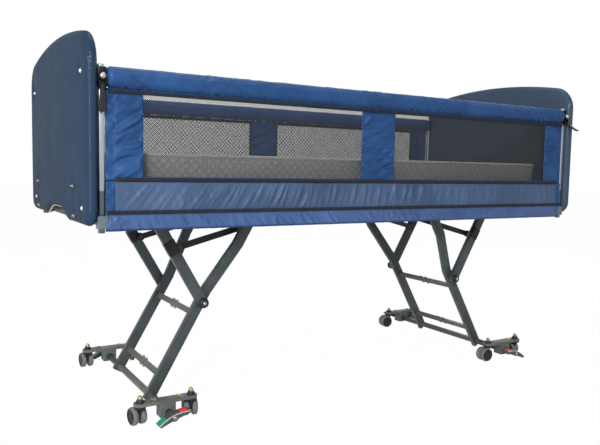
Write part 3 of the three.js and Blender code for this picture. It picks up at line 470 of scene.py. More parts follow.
lampPlan = {
    "key": {"place": (-2.9, -3.9, 2.7), "aim": (-0.3, 0, 0.7), "size": 1.0, "power": 190},
    "fill": {"place": (2.6, -4.4, 1.5), "aim": (0.3, 0, 0.6), "size": 2.4, "power": 8},
    "top": {"place": (0.3, 0.5, 4.2), "aim": (0, 0, 0.6), "size": 2.6, "power": 52},
    "back": {"place": (2.2, 4.4, 2.6), "aim": (0, 0, 0.6), "size": 2.4, "power": 45},
    "foot": {"place": (4.8, 0.9, 2.3), "aim": (0.9, 0, 0.7), "size": 1.6, "power": 55},
    "window": {"place": (-4.6, -1.3, 2.2), "aim": (-0.9, -0.3, 0.7), "size": 0.8, "power": 45},
    "strip": {"place": (-3.6, -2.4, 1.1), "aim": (-1.1, -0.5, 1.0), "size": 0.3, "tall": 2.2, "power": 34},
}


def makeLamps():
    for name, plan in lampPlan.items():
        data = bpy.data.lights.new(name, "AREA")
        data.shape, data.energy = "ELLIPSE", plan["power"]
        data.size, data.size_y = plan["size"], plan.get("tall", plan["size"])
        lamp = bpy.data.objects.new(name, data)
        aim = Vector(plan["aim"]) - Vector(plan["place"])
        turn = aim.to_track_quat("-Z", "Y").to_matrix().to_4x4()
        lamp.matrix_world = Matrix.Translation(plan["place"]) @ turn
        bpy.context.scene.collection.objects.link(lamp)


makeStage()
makeLamps()
print("camera, floor and lamps placed")


# Finish and edge rounding of the CAD pieces that stay
slotFinish = {"slate_paint": slatePaint, "black_paint": blackPaint, "zinc_rod": zincRod,
              "navy_vinyl": navyVinyl, "blue_nylon": blueNylon, "slate_nylon": slateNylon,
              "black_net": netBlack, "grey_ticking": ticking, "deck_plastic": deckPlastic,
              "black_plastic": blackPlastic, "tread_rubber": treadGrey}


def smoothGroup(limitDegrees):  # shades smooth across edges that turn less than the limit
    group = bpy.data.node_groups.new("smooth_by_angle", "GeometryNodeTree")
    for way in ("INPUT", "OUTPUT"):
        group.interface.new_socket("Geometry", in_out=way, socket_type="NodeSocketGeometry")
    start, end = group.nodes.new("NodeGroupInput"), group.nodes.new("NodeGroupOutput")
    faces = addNode(group, "GeometryNodeSetShadeSmooth", {"Geometry": start.outputs[0]}, domain="FACE")
    angle = addNode(group, "GeometryNodeInputMeshEdgeAngle").outputs["Unsigned Angle"]
    sharp = addNode(group, "FunctionNodeCompare", {0: angle, 1: math.radians(limitDegrees)},
                    data_type="FLOAT", operation="GREATER_THAN")
    hard = {"Geometry": faces.outputs[0], "Selection": sharp.outputs[0], "Shade Smooth": False}
    edges = addNode(group, "GeometryNodeSetShadeSmooth", hard, domain="EDGE")
    group.links.new(edges.outputs[0], end.inputs[0])
    return group


edgeRound = {"width": 0.0012, "legWidth": 0.0014, "segments": 2, "angle": 40.0, "weld": 1e-5, "flat": 0.5}
ownFinish = {"leg_frame": legPaint, "end_beam": beamPaint, "top_rail": railMetal, "carriage": carriagePaintPaintedLight,
             "_post": postMetal}
smoothing = smoothGroup(edgeRound["angle"])


def roundEdges(obj, width, clamp):
    weld = obj.modifiers.new("weld", "WELD")
    weld.merge_threshold = edgeRound["weld"]
    plain = obj.modifiers.new("plain_faces", "DECIMATE")
    plain.decimate_type, plain.angle_limit = "DISSOLVE", math.radians(edgeRound["flat"])
    bevel = obj.modifiers.new("edge_round", "BEVEL")
    bevel.width, bevel.segments = width, edgeRound["segments"]
    bevel.limit_method, bevel.angle_limit = "ANGLE", math.radians(edgeRound["angle"])
    bevel.use_clamp_overlap = clamp
    smooth = obj.modifiers.new("smooth", "NODES")
    smooth.node_group = smoothing


for part in record["subparts"]:
    node = nodes[part["node"]]
    node.data.materials.clear()
    kind = next((k for k in ownFinish if part["node"].endswith(k)), None)
    node.data.materials.append(ownFinish[kind] if kind else slotFinish[part["material_slot"]])
    leg = part["node"].endswith("leg_frame")
    roundEdges(node, edgeRound["legWidth" if leg else "width"], not leg)
print("CAD pieces finished")


# Padded end boards
boardLook = {"corner": 0.08, "footCorner": 0.05, "topArc": 2.3, "archHalf": 0.19, "archRise": 0.036,
             "edge": 0.02, "crown": 0.008, "around": 560, "innerRings": 12, "rimRings": 15, "outerRings": 56,
             "dimple": 0.0055, "dimpleWide": 0.016, "dimpleTall": 0.034, "gather": 0.0007,
             "gatherPitch": 0.018, "gatherDrop": (0.2, 0.1), "gatherFrom": 0.86, "footSteps": 160,
             "pipe": 0.0028, "pipeSpan": 0.98, "pipeDepth": 0.62, "pipeProud": 0.0005}
boltPlan = {"domeIn": 0.084, "domeRise": (-0.019, 0.385), "studIn": 0.167, "studRise": (-0.047, 0.045)}
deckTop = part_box("mattress_deck")[1].z


def archLift(y):  # rise of the bottom edge towards the middle of the board
    share = np.minimum(np.abs(y) / boardLook["archHalf"], 1)
    return boardLook["archRise"] * (0.5 + 0.5 * np.cos(np.pi * share ** 2))


def boardOutline(half, low, high):
    # bottom edge with its arch, round foot corners, straight sides, round shoulders, top arc
    b = boardLook
    drop = lambda y: b["topArc"] - np.sqrt(b["topArc"] ** 2 - y ** 2)
    y = np.linspace(-(half - b["footCorner"]), half - b["footCorner"], b["footSteps"])
    foot = np.stack([y, low + archLift(y)], -1)
    a = np.linspace(-np.pi / 2, 0, 24)
    footRound = np.stack([half - b["footCorner"] * (1 - np.cos(a)),
                          low + b["footCorner"] * (1 + np.sin(a))], -1)
    a = np.linspace(0, np.pi / 2, 40)
    shoulderY = half - b["corner"] * (1 - np.cos(a))
    shoulder = np.stack([shoulderY, high - drop(shoulderY) - b["corner"] * (1 - np.sin(a))], -1)
    y = np.linspace(half - b["corner"], 0, 60)
    crest = np.stack([y, high - drop(y)], -1)
    rightHalf = np.concatenate([foot[b["footSteps"] // 2:], footRound, shoulder, crest])
    loop = np.concatenate([rightHalf, rightHalf[::-1] * (-1, 1)])
    closed = np.concatenate([loop, loop[:1]])
    along = np.concatenate([[0], np.cumsum(np.linalg.norm(np.diff(closed, axis=0), axis=1))])
    at = np.linspace(0, along[-1], b["around"], endpoint=False)
    return np.stack([np.interp(at, along, closed[:, k]) for k in (0, 1)], -1), at


def boltPlaces(half):
    plan = boltPlan
    domes = [(s * (half - plan["domeIn"]), deckTop + r) for s in (-1, 1) for r in plan["domeRise"]]
    studs = [(s * (half - plan["studIn"]), deckTop + r) for s in (-1, 1) for r in plan["studRise"]]
    return domes, studs


def boardDepth(y, z, half, low, high, rim):
    # outer face: rim thickness + crown - a tall narrow dimple at each bolt
    b = boardLook
    row = np.clip((z - low) / (high - low), 0, 1)
    depth = rim + b["crown"] * (1 - (y / half) ** 2) * 4 * row * (1 - row)
    domes, studs = boltPlaces(half)
    for by, bz in domes + studs:
        near = np.exp(-((y - by) / b["dimpleWide"]) ** 2 - ((z - bz) / b["dimpleTall"]) ** 2)
        depth = depth - b["dimple"] * near
    return depth


def makeBoard(end):
    b, sign = boardLook, ends[end]
    low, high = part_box(f"{end}_board")
    half, bottom, top = high.y, low.z, high.z
    inner = low.x if sign > 0 else high.x
    rim = (high.x - low.x) - b["crown"]
    outline, along = boardOutline(half, bottom, top)
    tangent = np.roll(outline, -1, 0) - np.roll(outline, 1, 0)
    tangent /= np.linalg.norm(tangent, axis=1)[:, None]
    inward = np.stack([-tangent[:, 1], tangent[:, 0]], -1)
    dropFrom, dropTo = b["gatherDrop"]
    shoulderShare = softStep(np.abs(outline[:, 0]), half - b["corner"], half - 0.3 * b["corner"])
    shoulderShare *= softStep(outline[:, 1], top - dropFrom, top - dropTo)
    ripple = b["gather"] * shoulderShare * np.cos(2 * np.pi * along / b["gatherPitch"])
    centre = np.array([0, (bottom + top) / 2])
    edgeRing = outline + b["edge"] * inward
    rings = []
    for s in np.linspace(0, 1, b["innerRings"], endpoint=False):
        yz = centre + (edgeRing - centre) * s
        rings.append(np.column_stack([np.zeros(len(yz)), yz]))
    for theta in np.linspace(-np.pi / 2, np.pi / 2, b["rimRings"]):
        yz = outline + (b["edge"] * (1 - math.cos(theta)) + ripple * math.cos(theta))[:, None] * inward
        rings.append(np.column_stack([np.full(len(yz), rim / 2 * (1 + math.sin(theta))), yz]))
    rings[-1][:, 0] = boardDepth(rings[-1][:, 1], rings[-1][:, 2], half, bottom, top, rim)
    for s in np.linspace(1, 0, b["outerRings"])[1:]:
        yz = centre + (edgeRing - centre) * s
        fade = max(0, (s - b["gatherFrom"]) / (1 - b["gatherFrom"]))
        depth = boardDepth(yz[:, 0], yz[:, 1], half, bottom, top, rim) + ripple * fade
        rings.append(np.column_stack([depth, yz]))
    points = np.array(rings)
    points[..., 0] = inner + sign * points[..., 0]
    shape = (points, quadGrid(len(rings), b["around"], closeCols=True))
    board = solidPiece(f"{end}_board_pad", shape, boardVinyl[end], "bed_frame", "navy_vinyl")
    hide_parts(f"{end}_board")
    addBoardBolts(end, sign, inner, half, bottom, top, rim)
    addArchPiping(end, inner + sign * rim * b["pipeDepth"], bottom)


boltShapes = {
    "dome": [(0.0074, -0.002), (0.0078, 0.0006), (0.0070, 0.0016), (0.0060, 0.0018), (0.0056, 0.0032),
             (0.0044, 0.0048), (0.0024, 0.0056), (0.0004, 0.0058)],
    "washer": [(0.0115, -0.003), (0.0120, 0.0008), (0.0105, 0.0026), (0.0062, 0.0030), (0.0060, 0.0)],
    "nut": [(0.0066, 0.001), (0.0066, 0.0072), (0.0058, 0.0082), (0.0036, 0.0082)],
    "stud": [(0.0034, 0.002), (0.0034, 0.0118), (0.0028, 0.0130), (0.0004, 0.0131)],
}


def addBoardBolts(end, sign, inner, half, bottom, top, rim):
    def spot(y, z):
        return (inner + sign * float(boardDepth(y, z, half, bottom, top, rim)), y, z)
    domes, studs = boltPlaces(half)
    rows = (("domes", "dome", domes, 20, nickel, "zinc_rod"),
            ("washers", "washer", studs, 20, blackPlastic, "black_plastic"),
            ("nuts", "nut", studs, 6, yellowZinc, "zinc_rod"),
            ("studs", "stud", studs, 14, yellowZinc, "zinc_rod"))
    for name, kind, places, count, finish, slot in rows:
        isNut = kind == "nut"
        turn = 0.4 if isNut else 0.0
        shapes = [turned(boltShapes[kind], spot(*p), (sign, 0, 0), count, turn) for p in places]
        solidPiece(f"{end}_board_{name}", stacked(shapes), finish, "bed_frame", slot, flat=isNut)


def tubeAlong(path, radius, count, closed=False):
    # ring(i, k) = path_i + radius * (side_i cos a_k + up_i sin a_k), side and up square to the path
    path = np.asarray(path, float)
    if closed:
        tangent = np.roll(path, -1, 0) - np.roll(path, 1, 0)
    else:
        tangent = np.gradient(path, axis=0)
    tangent /= np.linalg.norm(tangent, axis=1)[:, None]
    steep = np.abs(tangent[:, 2]).max() >= 0.95
    reference = np.array([1.0, 0.0, 0.0] if steep else [0.0, 0.0, 1.0])
    side = np.cross(tangent, reference)
    side /= np.linalg.norm(side, axis=1)[:, None]
    up = np.cross(side, tangent)
    angle = np.linspace(0, 2 * np.pi, count, endpoint=False)
    points = path[:, None] + radius * (np.cos(angle)[None, :, None] * side[:, None]
                                       + np.sin(angle)[None, :, None] * up[:, None])
    if closed:
        return points, quadGrid(len(path), count, closeRows=True, closeCols=True).tolist()
    return points, cappedTube(len(path), count)


def addArchPiping(end, x, bottom):
    b = boardLook
    reach = b["archHalf"] * b["pipeSpan"]
    y = np.linspace(-reach, reach, 60)
    path = np.stack([np.full_like(y, x), y, bottom + archLift(y) + b["pipeProud"]], -1)
    solidPiece(f"{end}_arch_piping", tubeAlong(path, b["pipe"], 10), tanPiping, "bed_frame", "navy_vinyl")


for end in ends:
    makeBoard(end)
print("end boards made")


# Mattress with a diamond quilt
mattressLook = {"corner": 0.06, "edge": 0.014, "quilt": 0.0016, "quiltPitch": 0.05, "drawIn": 0.004,
                "crown": 0.001, "lengthSteps": 250, "endBunch": 1.12, "flatSteps": 100, "sideSteps": 16,
                "roundSteps": 7, "proud": 0.004, "piping": 0.004, "pipeSteps": 360, "pipeIn": 0.002,
                "pipeAt": 0.6}


def makeMattress():
    m = mattressLook
    low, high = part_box("mattress")
    halfX, halfY = high.x, high.y
    high.z += m["proud"]
    # rounded rectangle round the width and height, carried along the length and drawn in at both ends
    xs = np.linspace(-1, 1, m["lengthSteps"])
    xs = halfX * np.sign(xs) * (1 - (1 - np.abs(xs)) ** m["endBunch"])
    past = np.clip(np.abs(xs) - (halfX - m["corner"]), 0, m["corner"])
    inPlan = m["corner"] - np.sqrt(m["corner"] ** 2 - past ** 2)
    pastEdge = np.clip(np.abs(xs) - (halfX - m["edge"]), 0, m["edge"])
    inHeight = m["edge"] - np.sqrt(np.maximum(m["edge"] ** 2 - pastEdge ** 2, 0))
    a = np.linspace(0, np.pi / 2, m["roundSteps"])
    flat = np.linspace(-1, 1, m["flatSteps"])
    upright = np.linspace(1, -1, m["sideSteps"])[1:-1]
    r = m["edge"]
    one, turnSteps = np.ones(len(a)), len(a) + len(upright) + len(a)
    unitY = np.concatenate([flat, np.ones(turnSteps), flat[::-1], -np.ones(turnSteps)])
    cornerY = np.concatenate([flat * 0, np.sin(a), 1 + upright * 0, np.cos(a), flat * 0, -np.sin(a),
                              -1 + upright * 0, -np.cos(a)])
    unitZ = np.concatenate([flat * 0 + 1, one, upright, -one, flat * 0 - 1, -one, -upright, one])
    cornerZ = np.concatenate([flat * 0 + 1, np.cos(a), upright * 0, -np.sin(a), flat * 0 - 1, -np.cos(a),
                              upright * 0, np.sin(a)])
    halfZ, midZ = (high.z - low.z) / 2, (high.z + low.z) / 2
    bY = (halfY - inPlan)[:, None]
    bZ = (halfZ - inHeight)[:, None]
    y = unitY * (bY - r) + cornerY * r
    z = unitZ * (bZ - r) + cornerZ * r
    span = np.linalg.norm(np.diff(np.stack([y[len(y) // 2], z[len(z) // 2]], -1), axis=0), axis=1)
    around = np.concatenate([[0], np.cumsum(span)])
    # the sides are puffed: quilt * (sqrt|sin(pi (u + v)) sin(pi (u - v))| - 1), u and v in pitches
    alongX, alongS = xs[:, None] / m["quiltPitch"], around[None] / m["quiltPitch"]
    tuft = np.sqrt(np.abs(np.sin(np.pi * (alongX + alongS)) * np.sin(np.pi * (alongX - alongS))))
    puff = m["quilt"] * (tuft - 1)
    z = z - np.where(cornerZ > 0.99, m["crown"] * (y / halfY) ** 2, 0)
    y = y + cornerY * puff - np.sign(y) * m["drawIn"] * (np.abs(cornerY) > 0.99) * (1 - unitZ ** 2)
    x = np.broadcast_to(xs[:, None], y.shape)
    points = np.stack([x, y, z + midZ], -1)
    count = y.shape[1]
    faces = quadGrid(len(xs), count, closeCols=True).tolist()
    # one face closes each end
    for start, way in ((0, 1), ((len(xs) - 1) * count, -1)):
        faces.append([start + k for k in range(count)][::way])
    uv = np.stack(np.broadcast_arrays(xs[:, None], around[None]), -1)
    pad = meshPiece("mattress_pad", points, faces, [ticking], "bed_frame", "grey_ticking", uv=uv)
    closeShell(pad)
    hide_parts("mattress")
    angle = np.linspace(0, 2 * np.pi, m["pipeSteps"], endpoint=False)
    way = np.stack([np.cos(angle), np.sin(angle)], -1)
    ring = np.sign(way) * (halfX - m["corner"], halfY - m["corner"]) + m["corner"] * way
    inset = m["pipeAt"] * m["edge"]
    for level, name in ((high.z - inset, "top"), (low.z + inset, "bottom")):
        path = np.column_stack([ring * (1 - m["pipeIn"]), np.full(len(ring), level)])
        solidPiece(f"mattress_{name}_piping", tubeAlong(path, m["piping"], 8, closed=True), palePiping,
                   "bed_frame", "grey_ticking")


makeMattress()
print("mattress made")


# Nylon sleeve over each top rail
padLook = {"radius": 0.0318, "bore": 0.0166, "endRound": 0.014, "steps": 900, "around": 72, "past": 0.0105,
           "headPitch": (0.03, 0.085), "footPitch": (0.016, 0.05), "lean": (0.8, 1.5),
           "reach": (0.02, 0.065), "width": (0.004, 0.0065), "depth": (0.0022, 0.0046),
           "limits": (-0.005, 0.0032), "wall": 0.001, "seamGap": 0.02, "seamPull": 0.0012,
           "seamPast": 0.03, "seamWidth": 0.004}
padFold = {"count": 90, "angle": (-1.0, 1.0), "length": (0.03, 0.085), "width": (0.006, 0.012),
           "height": (0.0004, 0.0016)}


def sleevePleats(x, rise, x0, x1, seed):
    # diagonal pleats that start at the seam below and fade upwards: depth * exp(-(rise/reach)^2)
    # * (a ridge across t, and a valley beside it), with t = x - start + lean * rise
    p, rng = padLook, np.random.default_rng(seed)
    field, start = np.zeros_like(x), x0
    while start < x1:
        share = (start - x0) / (x1 - x0)
        start += rng.uniform(*(p["footPitch"] if share > 0.45 else p["headPitch"]))
        lean, width = rng.uniform(*p["lean"]), rng.uniform(*p["width"])
        reach = rng.uniform(*p["reach"]) * (1.5 if share > 0.35 else 1.0)
        t = (x - start + lean * rise) / width
        field += rng.uniform(*p["depth"]) * np.exp(-((rise / reach) ** 2)) * (
            np.exp(-(t ** 2)) - 0.9 * np.exp(-((t - 1.7) ** 2)))
    return field


def makeRailPad(side):
    p, sign = padLook, sides[side]
    low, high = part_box(f"{side}_rail_pad")
    low.x, high.x = low.x - p["past"], high.x + p["past"]
    axisY, axisZ = (low.y + high.y) / 2, (low.z + high.z) / 2
    # r(x, a) = radius + creases on the unrolled sleeve, with round ends and the tube's bore inside
    xs = np.linspace(low.x, high.x, p["steps"])
    angle = -np.pi / 2 + np.linspace(0, 2 * np.pi, p["around"], endpoint=False)
    unrolled = (angle + np.pi / 2) * p["radius"]
    girth = 2 * np.pi * p["radius"]
    gx, gs = np.meshgrid(xs, unrolled, indexing="ij")
    fold = creases(gx, gs, 11 + sign, (low.x, high.x), (p["seamGap"], girth - p["seamGap"]), padFold)
    fold *= softStep(gs, 0, p["seamGap"]) * softStep(girth - gs, 0, p["seamGap"])
    fold += sleevePleats(gx, gs if sign > 0 else girth - gs, low.x, high.x, 17 + sign)
    seamPull = p["seamPull"] * np.exp(-(((gs - girth / 2 - p["seamPast"]) / p["seamWidth"]) ** 2))
    toEnd = np.minimum(xs - low.x, high.x - xs)
    rounded = np.clip(p["endRound"] - toEnd, 0, None)
    roundIn = p["endRound"] - np.sqrt(np.maximum(p["endRound"] ** 2 - rounded ** 2, 0))
    r = p["radius"] - roundIn[:, None] + np.clip(fold, *p["limits"]) - seamPull
    r = np.maximum(r, p["bore"] + p["wall"])
    outer = np.stack([gx, axisY + r * np.cos(angle), axisZ + r * np.sin(angle)], -1)
    boreRing = lambda x: np.stack([np.full_like(angle, x), axisY + p["bore"] * np.cos(angle),
                                   axisZ + p["bore"] * np.sin(angle)], -1)
    points = np.concatenate([boreRing(low.x)[None], outer, boreRing(high.x)[None]])
    faces = quadGrid(len(points), p["around"], closeRows=True, closeCols=True)
    uv = np.stack([points[..., 0], np.broadcast_to(unrolled, points.shape[:2])], -1)
    pad = meshPiece(f"{side}_rail_sleeve", points, faces, [blueNylon], f"{side}_drop_rail", "blue_nylon",
                    uv=uv)
    closeShell(pad)
    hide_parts(f"{side}_rail_pad")


for side in sides:
    makeRailPad(side)
print("rail sleeves made")


# Drop side panels: three nylon bands, bindings and fine netting
panelLook = {"seamIn": 0.027, "leftWindow": (-0.908, -0.098), "rightWindow": (0.056, 0.903),
             "topEdge": 0.011, "sill": 0.0108, "sillGrid": 0.005, "cloth": 0.0011, "grid": 0.0034,
             "limits": (-0.004, 0.0085), "binding": 0.0006, "keep": 0.05, "past": 0.0085,
             "stripBack": 0.003, "stripWave": 0.0046, "stripPitch": 0.062, "seamPull": 0.0014,
             "seamWidth": 0.0032, "pucker": 0.0012, "puckerWidth": 0.014, "tape": 0.0108,
             "tapeShort": 0.0062, "tapeDrop": 0.003, "tapeOut": 0.0034, "tapeGrid": 0.004,
             "tapeCloth": 0.0012, "netPitch": 0.0042, "netStrand": 0.0012, "netDepth": 0.0008,
             "netMargin": 0.01}
bandFold = {"length": (0.025, 0.08), "width": (0.0055, 0.0115), "height": (0.0025, 0.008)}


def clothGrid(x0, x1, z0, z1, step):
    xs = np.linspace(x0, x1, max(3, int(round((x1 - x0) / step)) + 1))
    zs = np.linspace(z0, z1, max(3, int(round((z1 - z0) / step)) + 1))
    return np.meshgrid(xs, zs, indexing="ij")


def clothPiece(name, grid, out, at, material, slot, thickness):
    # a sheet on the plane |Y| = plane, pushed outwards by out; at holds the side's sign and the plane
    (gx, gz), (sign, plane) = grid, at
    points = np.stack([gx, sign * (plane + out), gz], -1)
    faces = quadGrid(*gx.shape)
    if sign > 0:
        faces = faces[:, ::-1]
    piece = meshPiece(name, points, faces, [material], "bed_frame", slot, uv=np.stack([gx, gz], -1))
    return thicken(piece, thickness)


def bandSurface(gx, gz, low, high, x0, x1, fold, seed):
    # creases that fade at the edges, and a thin binding along the two upright ones
    p = panelLook
    out = creases(gx, gz, seed, (x0, x1), (low.z, high.z), fold)
    edge = np.minimum.reduce([gx - x0, x1 - gx])
    out = out * softStep(np.minimum(high.z - gz - p["tape"], gz - low.z), 0.002, 0.02)
    out = np.clip(out, *p["limits"]) * softStep(edge, 0.0, 0.012)
    out = out + p["binding"] * (1 - softStep(edge, 0.006, 0.0085))
    seams = [x for x in (low.x + p["seamIn"], high.x - p["seamIn"]) if x0 < x < x1]
    for seam in seams:
        # past the seam the cloth lies further back in loose waves: back + wave * sin of the height
        strip = softStep(np.abs(gx) - abs(seam), 0.0, 0.004)
        wave = p["stripWave"] * np.sin(2 * np.pi * gz / p["stripPitch"] + 1.6 * np.sin(gz / 0.041))
        out = out * (1 - strip) + strip * (wave * softStep(edge, 0.0, 0.009) - p["stripBack"])
        out = out - p["seamPull"] * np.exp(-(((gx - seam) / p["seamWidth"]) ** 2))
        out = out + p["pucker"] * np.sin(gz / 0.009) * np.exp(-(((gx - seam) / p["puckerWidth"]) ** 2))
    return out


def makePanel(side):
    p, sign = panelLook, sides[side]
    low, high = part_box(f"{side}_panel_cloth")
    inner, outer = sorted((abs(low.y), abs(high.y)))
    plane = (inner + outer) / 2
    low.x, high.x = low.x - p["past"], high.x + p["past"]
    at = (sign, plane)
    bands = {"head_band": (low.x, p["leftWindow"][0], (0.15, 0.8), 34, 3),
             "centre_band": (p["leftWindow"][1], p["rightWindow"][0], (-0.3, 0.9), 30, 5),
             "foot_band": (p["rightWindow"][1], high.x, (-0.8, 0.5), 44, 7)}
    made = []
    for name, (x0, x1, angle, count, seed) in bands.items():
        grid = clothGrid(x0, x1, low.z, high.z, p["grid"])
        out = bandSurface(*grid, low, high, x0, x1, {**bandFold, "angle": angle, "count": count}, seed)
        made.append(clothPiece(f"{side}_{name}", grid, out, at, blueNylon, "blue_nylon", p["cloth"]))
    for name, (x0, x1) in {"head_sill": p["leftWindow"], "foot_sill": p["rightWindow"]}.items():
        for place, z0, z1 in (("low", low.z, low.z + p["sill"]), ("high", high.z - p["topEdge"], high.z)):
            grid = clothGrid(x0, x1, z0, z1, p["sillGrid"])
            out = 0.0004 * np.sin(grid[0] / 0.009) * np.sin(grid[0] / 0.031)
            made.append(clothPiece(f"{side}_{name}_{place}", grid, out, at, blueNylon, "blue_nylon",
                                   p["cloth"]))
    tapeEnd, tapeTop = high.x - p["tapeShort"], high.z - p["tapeDrop"]
    grid = clothGrid(-tapeEnd, tapeEnd, high.z - p["tape"] - p["tapeDrop"], tapeTop, p["tapeGrid"])
    out = p["tapeOut"] + 0.0005 * np.sin(grid[0] / 0.013) * np.sin(grid[0] / 0.047)
    made.append(clothPiece(f"{side}_sleeve_tape", grid, out, at, tapeBlack, "black_net", p["tapeCloth"]))
    for piece in made:
        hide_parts(f"{side}_panel_cloth")
        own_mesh(piece)
    makeNets(side, sign, low, high)


def netStrands(x0, x1, z0, z1, plane, sign, pitch, width, depth):
    # two sets of straight threads, x + z = c and x - z = c, cut at the rectangle's sides
    shapes = []
    for slope in (1, -1):
        starts, stops = [x0 + slope * z for z in (z0, z1)], [x1 + slope * z for z in (z0, z1)]
        c = np.arange(min(starts), max(stops), pitch * math.sqrt(2))
        if slope > 0:
            za, zb = np.maximum(z0, c - x1), np.minimum(z1, c - x0)
        else:
            za, zb = np.maximum(z0, x0 - c), np.minimum(z1, x1 - c)
        keep = zb - za > width
        c, za, zb = c[keep], za[keep], zb[keep]
        a = np.stack([c - slope * za, za], -1)
        b = np.stack([c - slope * zb, zb], -1)
        across = np.array([slope, 1.0]) / math.sqrt(2) * width / 2
        middle = sign * (plane + slope * depth * 0.4)
        corners = []
        for base in (a, b):
            for du, dv in ((-1, -1), (1, -1), (1, 1), (-1, 1)):
                xz = base + du * across
                corners.append(np.stack([xz[:, 0], np.full(len(xz), middle + dv * depth / 2), xz[:, 1]], -1))
        points = np.stack(corners, 1)
        quads = np.array([(0, 1, 2, 3), (4, 7, 6, 5), (0, 4, 5, 1), (1, 5, 6, 2), (2, 6, 7, 3), (3, 7, 4, 0)])
        faces = (np.arange(len(points))[:, None, None] * 8 + quads[None]).reshape(-1, 4)
        shapes.append((points, faces))
    return stacked(shapes)


def makeNets(side, sign, clothLow, clothHigh):
    p = panelLook
    low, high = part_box(f"{side}_panel_net")
    plane = abs(low.y + high.y) / 2
    z0, z1 = clothLow.z + 0.001, clothHigh.z - 0.002
    for name, (x0, x1) in {"head_net": p["leftWindow"], "foot_net": p["rightWindow"]}.items():
        x0, x1 = x0 - p["netMargin"], x1 + p["netMargin"]
        points, faces = netStrands(x0, x1, z0, z1, plane, sign, p["netPitch"], p["netStrand"], p["netDepth"])
        net = meshPiece(f"{side}_{name}", points, faces, [netBlack], "bed_frame", "black_net", flat=True)
        closeShell(net, 1e-7)
        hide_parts(f"{side}_panel_net")
        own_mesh(net)


for side in sides:
    makePanel(side)
print("drop side panels made")


# Skirts: a gathered band between two tapes, and a hemmed band below
skirtLook = {"upperTape": (-0.0085, 0.0023), "lowerTape": (0.0898, 0.1006), "cloth": 0.001, "grid": 0.0034,
             "fullness": 1.25, "stripWidth": 0.027, "past": 0.0085, "pleatPitch": (0.012, 0.034),
             "pleatWidth": (0.005, 0.011), "pleatHeight": (0.004, 0.0115), "hemCurl": 0.006,
             "out": 0.0034, "topGap": 0.002, "gatherBack": 0.0012, "gatherLimits": (-0.0028, 0.012),
             "hemLimits": (-0.007, 0.0046), "stripGrid": 0.003, "stripWave": 0.0026, "tapeGrid": 0.0035,
             "tapeOut": 0.0052, "tapeCloth": 0.0013, "tapeShort": 0.001, "cornerSpan": 0.06}
gatherFold = {"count": 200, "angle": (0.9, 2.2), "length": (0.012, 0.035), "width": (0.0035, 0.006),
              "height": (0.0004, 0.0016)}
hemFold = {"count": 240, "angle": (-1.3, -0.4), "length": (0.015, 0.05), "width": (0.0045, 0.008),
           "height": (0.001, 0.004)}
cornerFold = {"count": 60, "angle": (0.5, 1.2), "length": (0.02, 0.04), "width": (0.004, 0.007),
              "height": (0.001, 0.003)}


def gatherPleats(x, rise, x0, x1, seed):
    # upright pleats of uneven pitch, leaning at the head end and deepest in the middle of the length:
    # height * exp(-(|t| / width)^1.4), with t = x - start - lean * rise
    k, rng = skirtLook, np.random.default_rng(seed)
    field, start = np.zeros_like(x), x0
    while start < x1:
        share = (start - x0) / (x1 - x0)
        start += rng.uniform(*k["pleatPitch"])
        lean = np.interp(share, [0, 0.3, 0.6], [0.9, 0.4, 0.05]) + rng.uniform(-0.15, 0.15)
        depth = np.interp(share, [0, 0.1, 0.2, 0.6, 0.8, 1], [0.5, 0.6, 1, 1, 0.6, 0.5])
        width, height = rng.uniform(*k["pleatWidth"]), rng.uniform(*k["pleatHeight"]) * depth
        middle, tall = rng.uniform(0.0, 0.09), rng.uniform(0.025, 0.09)
        t = np.abs(x - start - lean * rise) / width
        field += height * np.exp(-(t ** 1.4)) * np.exp(-(((rise - middle) / tall) ** 2))
    return field


